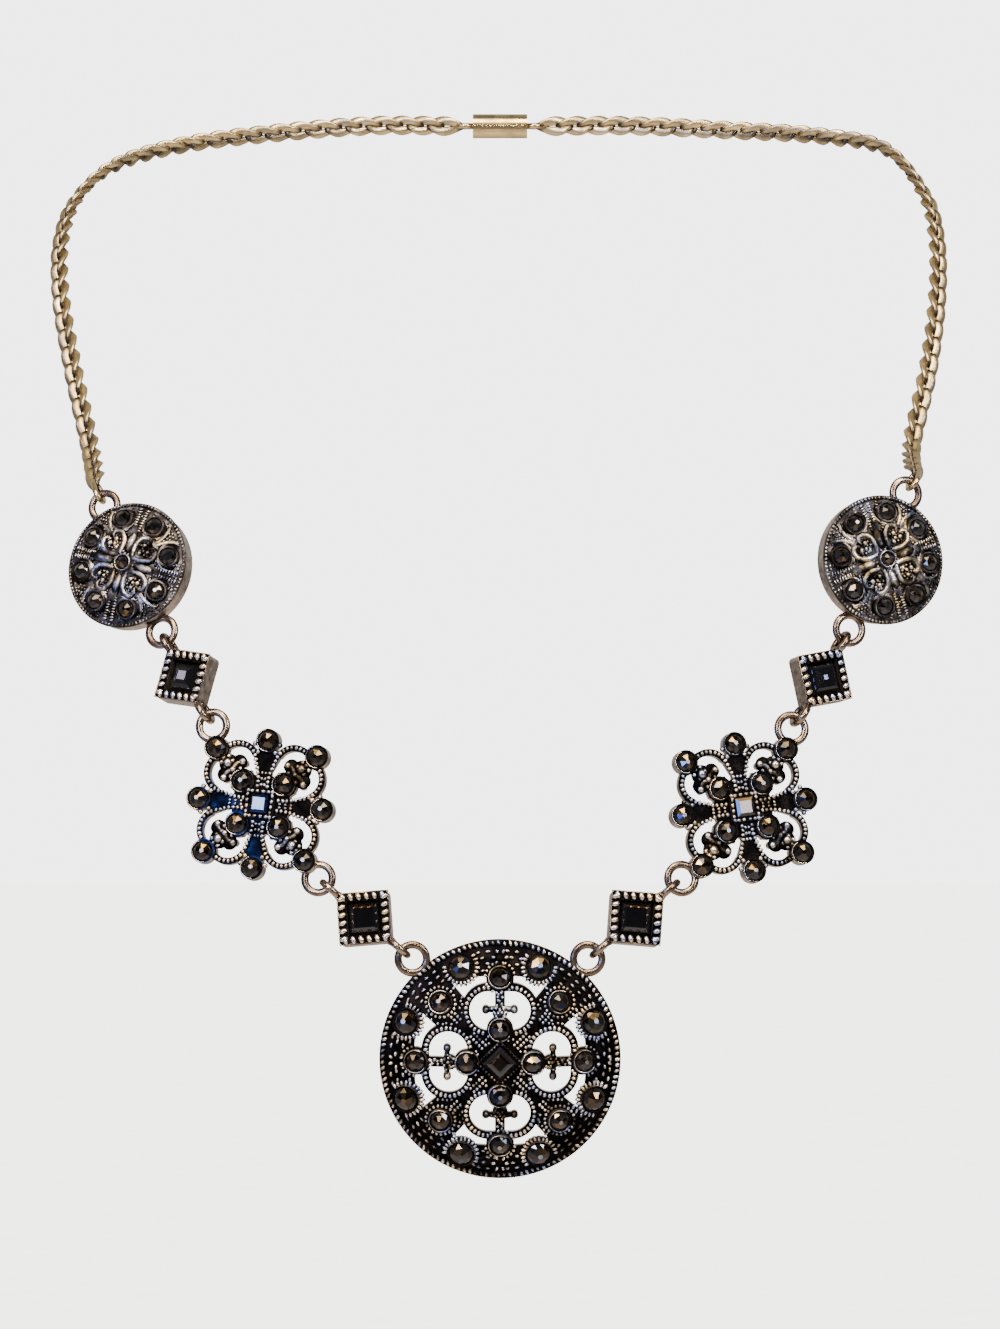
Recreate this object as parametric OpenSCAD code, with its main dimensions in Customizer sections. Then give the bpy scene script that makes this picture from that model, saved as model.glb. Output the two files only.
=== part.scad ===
// Necklace of a domed openwork medallion, two filigree flowers, four square-set links and two
// small relief medallions on a fine curb chain. Millimetres. X runs to the viewer's right, the
// faces look along -Y and Z is up. The origin is the nape, where the clasp rests on the neck.

/* [Necklace] */
// Height from the nape down to the middle of the medallion
drop = 148; // [147:1:149]
// Depth from the nape forward to the back of the medallion
reach = 100; // [99:1:101]
// Clearance between two pieces that touch on the real necklace
gap = 0.15; // [0.12:0.01:0.2]

/* [Medallion] */
// Radius of the medallion to the outside of its beaded rim
medallion_r = 18.1; // [18:0.1:18.3]
// Height of the dome's crown above the back of the rim
dome_top = 5.0; // [4.6:0.1:5.2]
// Thickness of the cast dome
dome_wall = 1.3; // [1.1:0.1:1.5]
// Lean of the face that brings its weight right under its two rings
hang_lean = 5; // [4:0.5:6]

/* [Flowers] */
// Distance from the middle of a flower to its four stones on the arms
arm_stone_at = 9.7; // [9.6:0.1:9.9]
// Distance from the middle of a flower to its four outer corner stones
corner_stone_at = 11.2; // [11:0.1:11.4]
// Thickness of the flower's openwork plate
flower_plate = 1.3; // [1.1:0.1:1.5]

/* [Square links] */
// Side of a square setting
square_side = 7.9; // [7.7:0.1:8.1]
// Depth of a square setting from front to back
square_deep = 3.0; // [2.8:0.1:3.2]
// Side of its black stone
square_stone = 5.0; // [4.8:0.1:5.2]

/* [Small medallions] */
// Radius of a small medallion to the outside of its beaded rim
small_r = 9.9; // [9.7:0.1:10]
// Height of its plain side wall
small_wall = 3.0; // [2.8:0.1:3.2]
// Height of its relief face above the wall
small_rise = 1.3; // [1.2:0.1:1.4]

/* [Round stones] */
// Diameter of the large stones at the medallion's rim
rim_stone_d = 3.7; // [3.6:0.1:3.8]
// Diameter of the other round stones
round_stone_d = 3.1; // [3:0.1:3.2]

/* [Rings and chain] */
// Inside radius of a flat ring
ring_hole_r = 1.58; // [1.55:0.01:1.65]
// Wire radius of a flat ring
ring_wire = 0.48; // [0.46:0.01:0.5]
// Inside radius of the upright rings on the square links
loop_hole_r = 1.22; // [1.2:0.01:1.25]
// Wire radius of the upright rings
loop_wire = 0.46; // [0.44:0.01:0.48]
// Diameter of the curb chain over its links
chain_d = 2.3; // [2.1:0.1:2.4]
// Diameter of the clasp's barrel
clasp_d = 4.0; // [3.8:0.1:4.2]
// Length of the clasp's barrel
clasp_long = 9.0; // [8.6:0.1:9.2]

/* [Hidden] */
$fn = 48;
dome_fn = 180;
// Height of a cut that goes right through a piece
cut = 12;

LEFT = -1;
RIGHT = 1;
metal = "#7b716a";
chain_metal = "#b5a58c";
jet = "#1d1a19";

// A pose is how a piece is turned from facing the viewer upright: anticlockwise in its own
// plane, to the viewer's right about the vertical, and forward at the top.
TURN = 0;
YAW = 1;
PITCH = 2;
medallion_pose = [0, 0, hang_lean];
left_poses = [
    // turn, yaw, pitch
    [5, -6, -8],
    [-5, -13, -9],
    [-7, -29, -18],
    [-14, -22, -14],
];
right_poses = [
    // turn, yaw, pitch
    [-5, 6, -8],
    [7, 13, -8],
    [9, 26, -9],
    [19, 20, -5],
];
LOWER = 0;
FLOWER = 1;
UPPER = 2;
SMALL = 3;

function turned_z(v, a) = [v.x * cos(a) - v.y * sin(a), v.x * sin(a) + v.y * cos(a), v.z];
function turned_x(v, a) = [v.x, v.y * cos(a) - v.z * sin(a), v.y * sin(a) + v.z * cos(a)];
function carried(v, pose) =
    turned_z(turned_x(turned_z(v, pose[TURN]), 90 + pose[PITCH]), pose[YAW]);
function unit(v) = v / norm(v);

// Rings. A flat ring lies in its piece's plane, and an upright one across it.
ring_r = ring_hole_r + ring_wire;
loop_r = loop_hole_r + loop_wire;
ring_high = 0.75;
// From the wire of a flat ring to the middle of the upright ring that it pulls on
bearing = loop_r - ring_wire - loop_wire - gap;

// Medallion
rim_wire = 0.6;
rim_r = medallion_r - rim_wire;
rim_high = 0.7;
dome_foot = 1.0;
dome_rise = dome_top - dome_foot;
dome_r = (rim_r * rim_r + dome_rise * dome_rise) / (2 * dome_rise);
medallion_ring_at = 20.0;
medallion_ring_angle = 41;
inner_at = 4.9;
middle_at = 12.5;
rim_stone_at = 15.1;
petal_at = 7.7;
petal_half = 1.7;
petal_r = 2.87;
petal_wire = 1.2;
scallop_at = 15.3;
scallop_r = 2.65;
medallion_stone = 3.65;
small_square_high = 1.4;
corner_outline = [[1.7, 12.8], [1.7, 9], [4.9, 9], [5.5, 9.7], [7.1, 11.5], [6.5, 12.4]];

// Fleur that stands in an opening: a stem, a crossbar and a ball at each end of the bar
fleur_stem = 1.0;
fleur_bar = 0.8;
fleur_ball = 0.6;
medallion_stem = 1.5;
medallion_fleur_at = 7.9;
medallion_fleur_half = 2.1;
medallion_fleur_r = 1.15;
flower_fleur_at = 6.7;
flower_fleur_half = 1.85;

// Square bezels in the middle of the medallion and the flowers
bezel_wall = 0.55;
bezel_corner = 0.4;
bezel_high = 0.8;
bezel_root = 1.1;

// Square links
corner_r = 0.8;
square_half = square_side / 2;
square_corner = (square_half - corner_r) * sqrt(2) + corner_r;
loop_sunk = 0.2;
loop_at = square_corner + loop_r - loop_sunk;
square_mid = square_deep / 2;
square_stone_foot = square_mid - 0.3;
square_stone_high = 2.0;

// Flowers
lobe_along = 7.4;
lobe_across = 1.25;
lobe_r = 2.9;
lobe_wire = 0.5;
lobe_tail = [2.4, 4.5];
lobe_tail_r = 0.5;
lobe_tail_long = 2.4;
lobe_tail_turn = -20;
flower_middle_r = 5.6;
arm_wide = 2.8;
arm_from = 4;
inner_corner_at = 4.6;
flower_stone = 3.1;
flower_ring_at = 14.5;

// Small medallions
small_rim_wire = 0.35;
small_dome_r = (small_r * small_r + small_rise * small_rise) / (2 * small_rise);
small_ring_at = 11.6;
small_ring_high = 0.9;
small_stone_at = 7.15;
small_stone_d = 2.7;
small_centre_d = 2.2;
small_petal_at = 3.9;
small_petal_r = 1.75;
small_arm_long = 12;
small_arm_wide = 1;
small_arm_high = 0.1;
relief_half = 0.3;
relief_high = 0.3;
relief_root = 0.4;

// Stones in their settings
cup_wall = 0.2;
cup_high = 0.75;
cup_root = 0.5;
cup_room = 0.45;
seat_high = 0.15;
fit = 0.06;
girdle_high = 0.55;
facet_high = 0.95;
table_high = 1.25;
crown_high = 1.3;
facet_part = 0.78;
table_part = 0.4;
square_girdle_part = 0.35;
square_table_part = 0.55;

// Where each ring and piece comes, from the medallion up along each side
medallion_at = [0, -reach, -drop];
function medallion_ring(side) =
    medallion_ring_at * [side * sin(medallion_ring_angle), cos(medallion_ring_angle), 0]
    + [0, 0, ring_high];
// Angle of the line through a square link's two rings, in its own plane
function link_angle(side) = side == LEFT ? 135 : 45;
// Angles of a flower's and a small medallion's upper and lower rings, in their own planes
function flower_angle(side, up) = side == LEFT ? (up ? 129 : -45) : (up ? 49 : -140);
function small_angle(side, up) = side == LEFT ? (up ? 135 : -45) : (up ? 45 : -135);
function poses(side) = side == LEFT ? left_poses : right_poses;
function at_angle(r, a, z) = [r * cos(a), r * sin(a), z];
function lower_start(side) = medallion_at + carried(medallion_ring(side), medallion_pose);
function link_way(side, k) = carried(at_angle(1, link_angle(side), 0), poses(side)[k]);
// The direction way, laid into the plane of a piece
function in_plane(way, pose) =
    let (n = carried([0, 0, 1], pose)) unit(way - (way * n) * n);
// From a flat ring up to the upright ring that hangs it, and from there to a flat ring above
function loop_on(ring, pose, way) = ring + ring_r * in_plane(way, pose) + bearing * way;
function ring_on(loop, pose, way) = loop + bearing * way + ring_r * in_plane(way, pose);
function lower_loop(side) =
    loop_on(lower_start(side), medallion_pose, link_way(side, LOWER));
function lower_end(side) =
    ring_on(lower_loop(side) + 2 * loop_at * link_way(side, LOWER), poses(side)[FLOWER],
        link_way(side, LOWER));
function flower_at(side) =
    lower_end(side)
    - carried(at_angle(flower_ring_at, flower_angle(side, false), ring_high), poses(side)[FLOWER]);
function upper_start(side) =
    flower_at(side)
    + carried(at_angle(flower_ring_at, flower_angle(side, true), ring_high), poses(side)[FLOWER]);
function upper_loop(side) =
    loop_on(upper_start(side), poses(side)[FLOWER], link_way(side, UPPER));
function upper_end(side) =
    ring_on(upper_loop(side) + 2 * loop_at * link_way(side, UPPER), poses(side)[SMALL],
        link_way(side, UPPER));
function link_centre(side, k) =
    (k == LOWER ? lower_loop(side) : upper_loop(side)) + loop_at * link_way(side, k)
    - carried([0, 0, square_mid], poses(side)[k]);
function small_at(side) =
    upper_end(side)
    - carried(at_angle(small_ring_at, small_angle(side, false), small_ring_high), poses(side)[SMALL]);
function small_top(side) =
    small_at(side)
    + carried(at_angle(small_ring_at, small_angle(side, true), small_ring_high), poses(side)[SMALL]);

// Chain. Its route is given from the nape, up from each small medallion and round the neck.
end_wire = 0.42;
end_r = 1.15;
end_straight = 1.9;
end_half = end_straight / 2 + end_r;
clasp_ring_r = 1.3;
clasp_ring_wire = 0.45;
clasp_ring_sunk = 0.1;
chain_sides = 8;
chain_steps = 3;
left_route = [
    // x, y, z
    [-64, -60.5, -54.5], [-67, -52, -43], [-69.5, -44, -31], [-70, -36.5, -21.5],
    [-68, -27.5, -14], [-62.5, -18.5, -8], [-52, -9, -4], [-37, -2.5, -1.5], [-21, 1, 0],
    [-7.8, 2, 0],
];
right_route = [
    // x, y, z
    [64, -64, -54.5], [67, -55.5, -43], [69, -47, -31.5], [69.5, -39, -21.5],
    [68, -30.5, -13.5], [62.5, -19.5, -5.5], [52, -9.5, -2.5], [37, -2.5, -1], [21, 1, 0],
    [7.8, 2, 0],
];
function route(side) = side == LEFT ? left_route : right_route;
function end_way(side) = unit(route(side)[0] - small_top(side));
function end_link_at(side) =
    small_top(side) + ring_r * in_plane(end_way(side), poses(side)[SMALL])
    + end_way(side) * (end_half - ring_wire - end_wire - gap);
function chain_start(side) =
    end_link_at(side) + end_way(side) * (end_half + end_wire + gap);
function through(side) = concat([chain_start(side)], route(side));
// A smooth curve through the route's points
function spline(a, b, c, d, t) =
    0.5 * (2 * b + (c - a) * t + (2 * a - 5 * b + 4 * c - d) * t * t
    + (3 * b - a - 3 * c + d) * t * t * t);
function curve(pts) = [
    for (k = [0:len(pts) - 2], s = [0:chain_steps - 1])
        spline(pts[max(k - 1, 0)], pts[k], pts[k + 1], pts[min(k + 2, len(pts) - 1)],
            s / chain_steps),
    pts[len(pts) - 1],
];
function way(pts, k) = unit(pts[min(k + 1, len(pts) - 1)] - pts[max(k - 1, 0)]);
function outward(p) = [p.x, p.y + reach / 2, 0];
function tube_points(pts, r) = [
    for (k = [0:len(pts) - 1])
        let (w = way(pts, k), u = unit(cross(w, outward(pts[k]))), v = cross(w, u))
            for (j = [0:chain_sides - 1])
                let (a = 360 * j / chain_sides) pts[k] + r * (cos(a) * u + sin(a) * v)
];
function tube_faces(rings) = concat(
    [[for (j = [0:chain_sides - 1]) j]],
    [
        for (k = [0:rings - 2], j = [0:chain_sides - 1])
            let (a = k * chain_sides, b = a + chain_sides, n = (j + 1) % chain_sides)
                [a + j, b + j, b + n, a + n]
    ],
    [[for (j = [chain_sides - 1:-1:0]) (rings - 1) * chain_sides + j]]
);

module posed(at, pose) {
    translate(at)
        rotate([0, 0, pose[YAW]])
            rotate([90 + pose[PITCH], 0, 0])
                rotate([0, 0, pose[TURN]])
                    children();
}

module torus(r, wire) {
    rotate_extrude() translate([r, 0]) circle(wire);
}

// Square plate with round corners
module rounded(side, corner, high) {
    half = side / 2 - corner;
    for (x = [-half, half], y = [-half, half])
        translate([x, y, 0]) cylinder(r = corner, h = high);
    translate([-half, -side / 2, 0]) cube([2 * half, side, high]);
    translate([-side / 2, -half, 0]) cube([side, 2 * half, high]);
}

// Round stone with a flat foot, a short girdle and a low crown
module round_stone(d) {
    r = d / 2;
    translate([0, 0, seat_high + fit])
        rotate_extrude()
            polygon([
                [0, 0], [r, 0], [r, girdle_high], [facet_part * r, facet_high],
                [table_part * r, table_high], [0, crown_high],
            ]);
}

// Square stone with sloping sides and a flat table: two profiles that cross
module square_cut(side, high) {
    intersection() {
        square_profile(side, high);
        rotate([0, 0, 90]) square_profile(side, high);
    }
}

module square_profile(side, high) {
    half = side / 2;
    foot = square_girdle_part * high;
    table = square_table_part * half;
    translate([0, half, 0])
        rotate([90, 0, 0])
            linear_extrude(side)
                polygon([
                    [-half, 0], [half, 0], [half, foot], [table, high], [-table, high],
                    [-half, foot],
                ]);
}

module stone_cup(d) {
    translate([0, 0, -cup_root])
        cylinder(d = d + 2 * (fit + cup_wall), h = cup_root + cup_high);
}

module stone_pocket(d) {
    translate([0, 0, seat_high]) cylinder(d = d + 2 * fit, h = cut);
}

// Square bezel round a stone, raised from the surface at height 0
module bezel(stone, root) {
    translate([0, 0, -root]) rounded(stone + 2 * bezel_wall, bezel_corner, root + bezel_high);
}

module square_pocket(stone) {
    translate([-stone / 2 - fit, -stone / 2 - fit, 0])
        cube([stone + 2 * fit, stone + 2 * fit, cut]);
}

// Upright prism that cuts through a piece, or is left standing by a cut
module through_cylinder(at, r) {
    translate([at.x, at.y, -cut / 2]) cylinder(r = r, h = 2 * cut);
}

module through_bar(from, size) {
    translate([from.x, from.y, -cut / 2]) cube([size.x, size.y, 2 * cut]);
}

// Puts a child on the outside of a dome of radius r whose crown is at top
module on_dome(r, top, at, angle) {
    rotate([0, 0, angle])
        translate([0, 0, top - r])
            rotate([-asin(at / r), 0, 0])
                translate([0, 0, r])
                    children();
}

// Places on the medallion's dome: four stones on the axes near the middle, eight further out
// and eight larger ones at the rim between them
module at_small_stones() {
    for (k = [0:3]) on_dome(dome_r, dome_top, inner_at, 90 * k) children();
    for (k = [0:7]) on_dome(dome_r, dome_top, middle_at, 45 * k) children();
}

module at_rim_stones() {
    for (k = [0:7]) on_dome(dome_r, dome_top, rim_stone_at, 45 * k + 22.5) children();
}

// Outline of a petal, two round lobes side by side
module petal(r) {
    for (x = [-petal_half, petal_half]) through_cylinder([x, petal_at], r);
    through_bar([-petal_half, petal_at - r], [2 * petal_half, 2 * r]);
}

// Opening inside a petal, around the inner stone's cup and the fleur that grows from it
module petal_opening() {
    half = medallion_fleur_half;
    difference() {
        petal(petal_r);
        through_cylinder([0, inner_at], round_stone_d / 2 + cup_room);
        through_bar([-medallion_stem / 2, inner_at], [medallion_stem, middle_at - inner_at]);
        through_bar([-half, medallion_fleur_at - fleur_bar / 2], [2 * half, fleur_bar]);
        through_cylinder([0, medallion_fleur_at - fleur_bar / 2], medallion_fleur_r);
        for (x = [-half, half]) through_cylinder([x, medallion_fleur_at], fleur_ball);
    }
}

// Three-cornered opening between a petal, two stones and the scallop round a rim stone
module corner_opening() {
    stone_room = round_stone_d / 2 + cup_room;
    difference() {
        translate([0, 0, -1]) linear_extrude(cut) polygon(corner_outline);
        petal(petal_r + petal_wire);
        through_cylinder([0, middle_at], stone_room + 0.1);
        rotate([0, 0, -45]) through_cylinder([0, middle_at], stone_room + 0.3);
        rotate([0, 0, -22.5]) through_cylinder([0, scallop_at], scallop_r);
    }
}

module medallion_body() {
    difference() {
        union() {
            intersection() {
                translate([0, 0, dome_top - dome_r])
                    difference() {
                        sphere(dome_r, $fn = dome_fn);
                        sphere(dome_r - dome_wall, $fn = dome_fn);
                    }
                cylinder(r = rim_r, h = cut);
            }
            translate([0, 0, rim_high]) torus(rim_r, rim_wire);
            translate([0, 0, dome_top]) rotate([0, 0, 45]) bezel(medallion_stone, bezel_root);
        }
        for (k = [0:3]) rotate([0, 0, 90 * k]) petal_opening();
        for (k = [0:3], s = [0, 1])
            rotate([0, 0, 90 * k]) mirror([s, 0, 0]) corner_opening();
    }
}

module medallion() {
    color(metal)
        posed(medallion_at, medallion_pose) {
            difference() {
                union() {
                    medallion_body();
                    at_small_stones() stone_cup(round_stone_d);
                    at_rim_stones() stone_cup(rim_stone_d);
                }
                at_small_stones() stone_pocket(round_stone_d);
                at_rim_stones() stone_pocket(rim_stone_d);
                translate([0, 0, dome_top + seat_high])
                    rotate([0, 0, 45])
                        square_pocket(medallion_stone);
            }
            for (side = [LEFT, RIGHT])
                translate(medallion_ring(side)) torus(ring_r, ring_wire);
        }
}

module medallion_round_stones() {
    color(jet)
        posed(medallion_at, medallion_pose) {
            at_small_stones() round_stone(round_stone_d);
            at_rim_stones() round_stone(rim_stone_d);
        }
}

module medallion_square_stone() {
    color(jet)
        posed(medallion_at, medallion_pose)
            translate([0, 0, dome_top + seat_high + fit])
                rotate([0, 0, 45])
                    square_cut(medallion_stone, small_square_high);
}

// Square setting with an upright ring on each of two opposite corners
module square_setting(side, k) {
    color(metal)
        posed(link_centre(side, k), poses(side)[k]) {
            difference() {
                rounded(square_side, corner_r, square_deep);
                translate([0, 0, square_stone_foot]) square_pocket(square_stone);
            }
            for (a = [0, 180])
                rotate([0, 0, link_angle(side) + a])
                    translate([loop_at, 0, square_mid])
                        rotate([90, 0, 0])
                            torus(loop_r, loop_wire);
        }
}

module square_link_stone(side, k) {
    color(jet)
        posed(link_centre(side, k), poses(side)[k])
            translate([0, 0, square_stone_foot + fit])
                square_cut(square_stone, square_stone_high);
}

module square_lower_left() { square_setting(LEFT, LOWER); }
module square_lower_right() { square_setting(RIGHT, LOWER); }
module square_upper_left() { square_setting(LEFT, UPPER); }
module square_upper_right() { square_setting(RIGHT, UPPER); }
module stone_lower_left() { square_link_stone(LEFT, LOWER); }
module stone_lower_right() { square_link_stone(RIGHT, LOWER); }
module stone_upper_left() { square_link_stone(LEFT, UPPER); }
module stone_upper_right() { square_link_stone(RIGHT, UPPER); }

// Places of a flower's stones: on the arms, at the outer corners and inside the petals
module at_flower_stones() {
    for (k = [0:3]) {
        rotate([0, 0, 90 * k]) translate([0, arm_stone_at, flower_plate]) children();
        rotate([0, 0, 90 * k + 45]) translate([0, corner_stone_at, flower_plate]) children();
        rotate([0, 0, 90 * k + 45]) translate([0, inner_corner_at, flower_plate]) children();
    }
}

// Opening inside one lobe of a petal, along the beaded wire and clear of the fleur
module lobe_opening() {
    difference() {
        union() {
            translate([lobe_across, lobe_along, -1]) cylinder(r = lobe_r - lobe_wire, h = cut);
            translate([lobe_tail.x, lobe_tail.y, -1]) {
                cylinder(r = lobe_tail_r, h = cut);
                rotate([0, 0, lobe_tail_turn])
                    translate([-lobe_tail_r, 0, 0])
                        cube([2 * lobe_tail_r, lobe_tail_long, cut]);
            }
        }
        through_bar([-lobe_r, 0], [lobe_r + fleur_stem / 2, corner_stone_at]);
        through_bar([0, flower_fleur_at - fleur_bar / 2], [flower_fleur_half, fleur_bar]);
        through_cylinder([flower_fleur_half, flower_fleur_at], fleur_ball);
        for (at = [inner_corner_at, corner_stone_at])
            through_cylinder([0, at], round_stone_d / 2 + cup_room);
    }
}

module flower(side) {
    color(metal)
        posed(flower_at(side), poses(side)[FLOWER]) {
            difference() {
                union() {
                    cylinder(r = flower_middle_r, h = flower_plate);
                    for (k = [0:3], s = [0, 1])
                        rotate([0, 0, 90 * k + 45])
                            mirror([s, 0, 0])
                                translate([lobe_across, lobe_along, 0])
                                    cylinder(r = lobe_r + lobe_wire, h = flower_plate);
                    for (k = [0:3])
                        rotate([0, 0, 90 * k])
                            translate([-arm_wide / 2, arm_from, 0])
                                cube([arm_wide, arm_stone_at - arm_from, flower_plate]);
                    translate([0, 0, flower_plate]) bezel(flower_stone, flower_plate / 2);
                    at_flower_stones()
                        translate([0, 0, -flower_plate])
                            cylinder(
                                d = round_stone_d + 2 * (fit + cup_wall),
                                h = flower_plate + cup_high
                            );
                }
                for (k = [0:3], s = [0, 1])
                    rotate([0, 0, 90 * k + 45]) mirror([s, 0, 0]) lobe_opening();
                at_flower_stones() stone_pocket(round_stone_d);
                translate([0, 0, flower_plate]) square_pocket(flower_stone);
            }
            for (up = [true, false])
                translate(at_angle(flower_ring_at, flower_angle(side, up), ring_high))
                    torus(ring_r, ring_wire);
        }
}

module flower_round_stones(side) {
    color(jet)
        posed(flower_at(side), poses(side)[FLOWER])
            at_flower_stones() round_stone(round_stone_d);
}

module flower_square_stone(side) {
    color(jet)
        posed(flower_at(side), poses(side)[FLOWER])
            translate([0, 0, flower_plate + fit])
                square_cut(flower_stone, small_square_high);
}

module flower_left() { flower(LEFT); }
module flower_right() { flower(RIGHT); }
module flower_stones_left() { flower_round_stones(LEFT); }
module flower_stones_right() { flower_round_stones(RIGHT); }
module flower_square_stone_left() { flower_square_stone(LEFT); }
module flower_square_stone_right() { flower_square_stone(RIGHT); }

// Flat ring that stands a little above the surface
module raised_ring(r) {
    difference() {
        translate([0, 0, -relief_root])
            cylinder(r = r + relief_half, h = relief_root + relief_high);
        through_cylinder([0, 0], r - relief_half);
    }
}

// Places of a small medallion's eight stones round its rim
module at_small_rim_stones() {
    for (k = [0:7])
        on_dome(small_dome_r, small_wall + small_rise, small_stone_at, 45 * k + 22.5) children();
}

module small_medallion(side) {
    color(metal)
        posed(small_at(side), poses(side)[SMALL]) {
            difference() {
                union() {
                    intersection() {
                        translate([0, 0, small_wall + small_rise - small_dome_r])
                            sphere(small_dome_r, $fn = dome_fn);
                        cylinder(r = small_r - small_rim_wire, h = cut);
                    }
                    translate([0, 0, small_wall]) torus(small_r - small_rim_wire, small_rim_wire);
                    for (k = [0:3])
                        on_dome(small_dome_r, small_wall + small_rise, small_petal_at, 90 * k + 45)
                            raised_ring(small_petal_r);
                    for (k = [0:1])
                        rotate([0, 0, 90 * k])
                            translate([-small_arm_long / 2, -small_arm_wide / 2, small_wall])
                                cube([small_arm_long, small_arm_wide, small_rise + small_arm_high]);
                    at_small_rim_stones() stone_cup(small_stone_d);
                    translate([0, 0, small_wall + small_rise]) stone_cup(small_centre_d);
                }
                at_small_rim_stones() stone_pocket(small_stone_d);
                translate([0, 0, small_wall + small_rise]) stone_pocket(small_centre_d);
            }
            for (up = [true, false])
                translate(at_angle(small_ring_at, small_angle(side, up), small_ring_high))
                    torus(ring_r, ring_wire);
        }
}

module small_medallion_stones(side) {
    color(jet)
        posed(small_at(side), poses(side)[SMALL]) {
            at_small_rim_stones() round_stone(small_stone_d);
            translate([0, 0, small_wall + small_rise]) round_stone(small_centre_d);
        }
}

module small_medallion_left() { small_medallion(LEFT); }
module small_medallion_right() { small_medallion(RIGHT); }
module small_medallion_stones_left() { small_medallion_stones(LEFT); }
module small_medallion_stones_right() { small_medallion_stones(RIGHT); }

// Long oval link between a small medallion's ring and the chain, across that ring's plane
module end_link(side) {
    w = end_way(side);
    face = carried([0, 0, 1], poses(side)[SMALL]);
    axis = unit(cross(w, face));
    flat = cross(axis, w);
    color(chain_metal)
        translate(end_link_at(side))
            multmatrix([
                [flat.x, w.x, axis.x, 0],
                [flat.y, w.y, axis.y, 0],
                [flat.z, w.z, axis.z, 0],
            ]) {
                for (s = [1, -1])
                    scale([1, s, 1])
                        translate([0, end_straight / 2, 0])
                            rotate_extrude(angle = 180) translate([end_r, 0]) circle(end_wire);
                for (x = [-end_r, end_r])
                    translate([x, -end_straight / 2, 0])
                        rotate([-90, 0, 0])
                            cylinder(r = end_wire, h = end_straight);
            }
}

module end_link_left() { end_link(LEFT); }
module end_link_right() { end_link(RIGHT); }

module chain(side) {
    pts = curve(through(side));
    color(chain_metal)
        polyhedron(tube_points(pts, chain_d / 2), tube_faces(len(pts)), convexity = 6);
}

module chain_left() { chain(LEFT); }
module chain_right() { chain(RIGHT); }

// Plain barrel with a ring at each end
module clasp() {
    color(chain_metal)
        translate([0, clasp_d / 2, 0]) {
            rotate([0, 90, 0]) cylinder(d = clasp_d, h = clasp_long, center = true);
            for (s = [-1, 1])
                translate([s * (clasp_long / 2 + clasp_ring_r - clasp_ring_sunk), 0, 0])
                    torus(clasp_ring_r, clasp_ring_wire);
        }
}

medallion();
medallion_round_stones();
medallion_square_stone();
square_lower_left();
square_lower_right();
square_upper_left();
square_upper_right();
stone_lower_left();
stone_lower_right();
stone_upper_left();
stone_upper_right();
flower_left();
flower_right();
flower_stones_left();
flower_stones_right();
flower_square_stone_left();
flower_square_stone_right();
small_medallion_left();
small_medallion_right();
small_medallion_stones_left();
small_medallion_stones_right();
end_link_left();
end_link_right();
chain_left();
chain_right();
clasp();
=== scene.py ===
"""Medallion necklace: beaded and filigree silver, faceted dark glass and a curb chain.

The sizes in the operators are millimetres in each casting's own flat layout, where x runs to the
right, y up and z out of its face. A place then turns the casting to where it hangs.
"""

import random
from functools import partial
from math import asin, atan2, ceil, cos, degrees, hypot, pi, radians, sin, sqrt

import bmesh
import bpy
from bpy.props import FloatProperty, PointerProperty, StringProperty
from mathutils import Matrix, Vector
from mathutils.bvhtree import BVHTree
from mathutils.kdtree import KDTree


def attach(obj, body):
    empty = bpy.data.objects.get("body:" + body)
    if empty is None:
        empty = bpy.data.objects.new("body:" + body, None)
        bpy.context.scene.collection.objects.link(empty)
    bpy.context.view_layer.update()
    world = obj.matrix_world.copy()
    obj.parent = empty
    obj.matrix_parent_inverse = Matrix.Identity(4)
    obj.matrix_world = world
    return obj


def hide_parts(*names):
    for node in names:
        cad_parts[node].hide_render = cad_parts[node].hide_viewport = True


bl_info = {
    "name": "Medallion necklace",
    "version": (1, 0, 0),
    "blender": (4, 5, 0),
    "location": "3D View > Sidebar > Necklace",
    "description": "Builds the beadwork, stones, links and finishes of a medallion necklace",
    "category": "Object",
}

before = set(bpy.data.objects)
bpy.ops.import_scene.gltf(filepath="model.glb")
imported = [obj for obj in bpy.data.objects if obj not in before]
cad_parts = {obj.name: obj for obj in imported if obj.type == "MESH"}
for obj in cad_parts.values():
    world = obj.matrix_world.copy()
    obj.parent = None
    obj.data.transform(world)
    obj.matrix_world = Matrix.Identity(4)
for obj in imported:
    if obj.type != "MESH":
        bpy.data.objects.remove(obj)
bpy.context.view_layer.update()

MM = Matrix.Scale(0.001, 4)
SIDES = ("left", "right")

# Where each casting hangs, in mm from the nape, and its pose in degrees: turned in its own plane,
# to the viewer's right about the vertical, and forward at the top
PLACES = {
    "medallion": ((0, -100, -148), (0, 0, 5)),
    "square_lower_left": ((-20.0683, -99.4613, -127.271), (5, -6, -8)),
    "square_lower_right": ((20.0683, -99.4613, -127.271), (-5, 6, -8)),
    "square_upper_left": ((-46.839, -86.1865, -91.5414), (-7, -29, -18)),
    "square_upper_right": ((47.9406, -87.5078, -91.3817), (9, 26, -9)),
    "flower_left": ((-35.7702, -94.6313, -110.261), (-5, -13, -9)),
    "flower_right": ((36.3859, -94.7785, -110.712), (7, 13, -8)),
    "small_medallion_left": ((-55.8893, -77.5832, -74.5388), (-14, -22, -14)),
    "small_medallion_right": ((57.2778, -82.1399, -73.3077), (19, 20, -5)),
}
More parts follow.
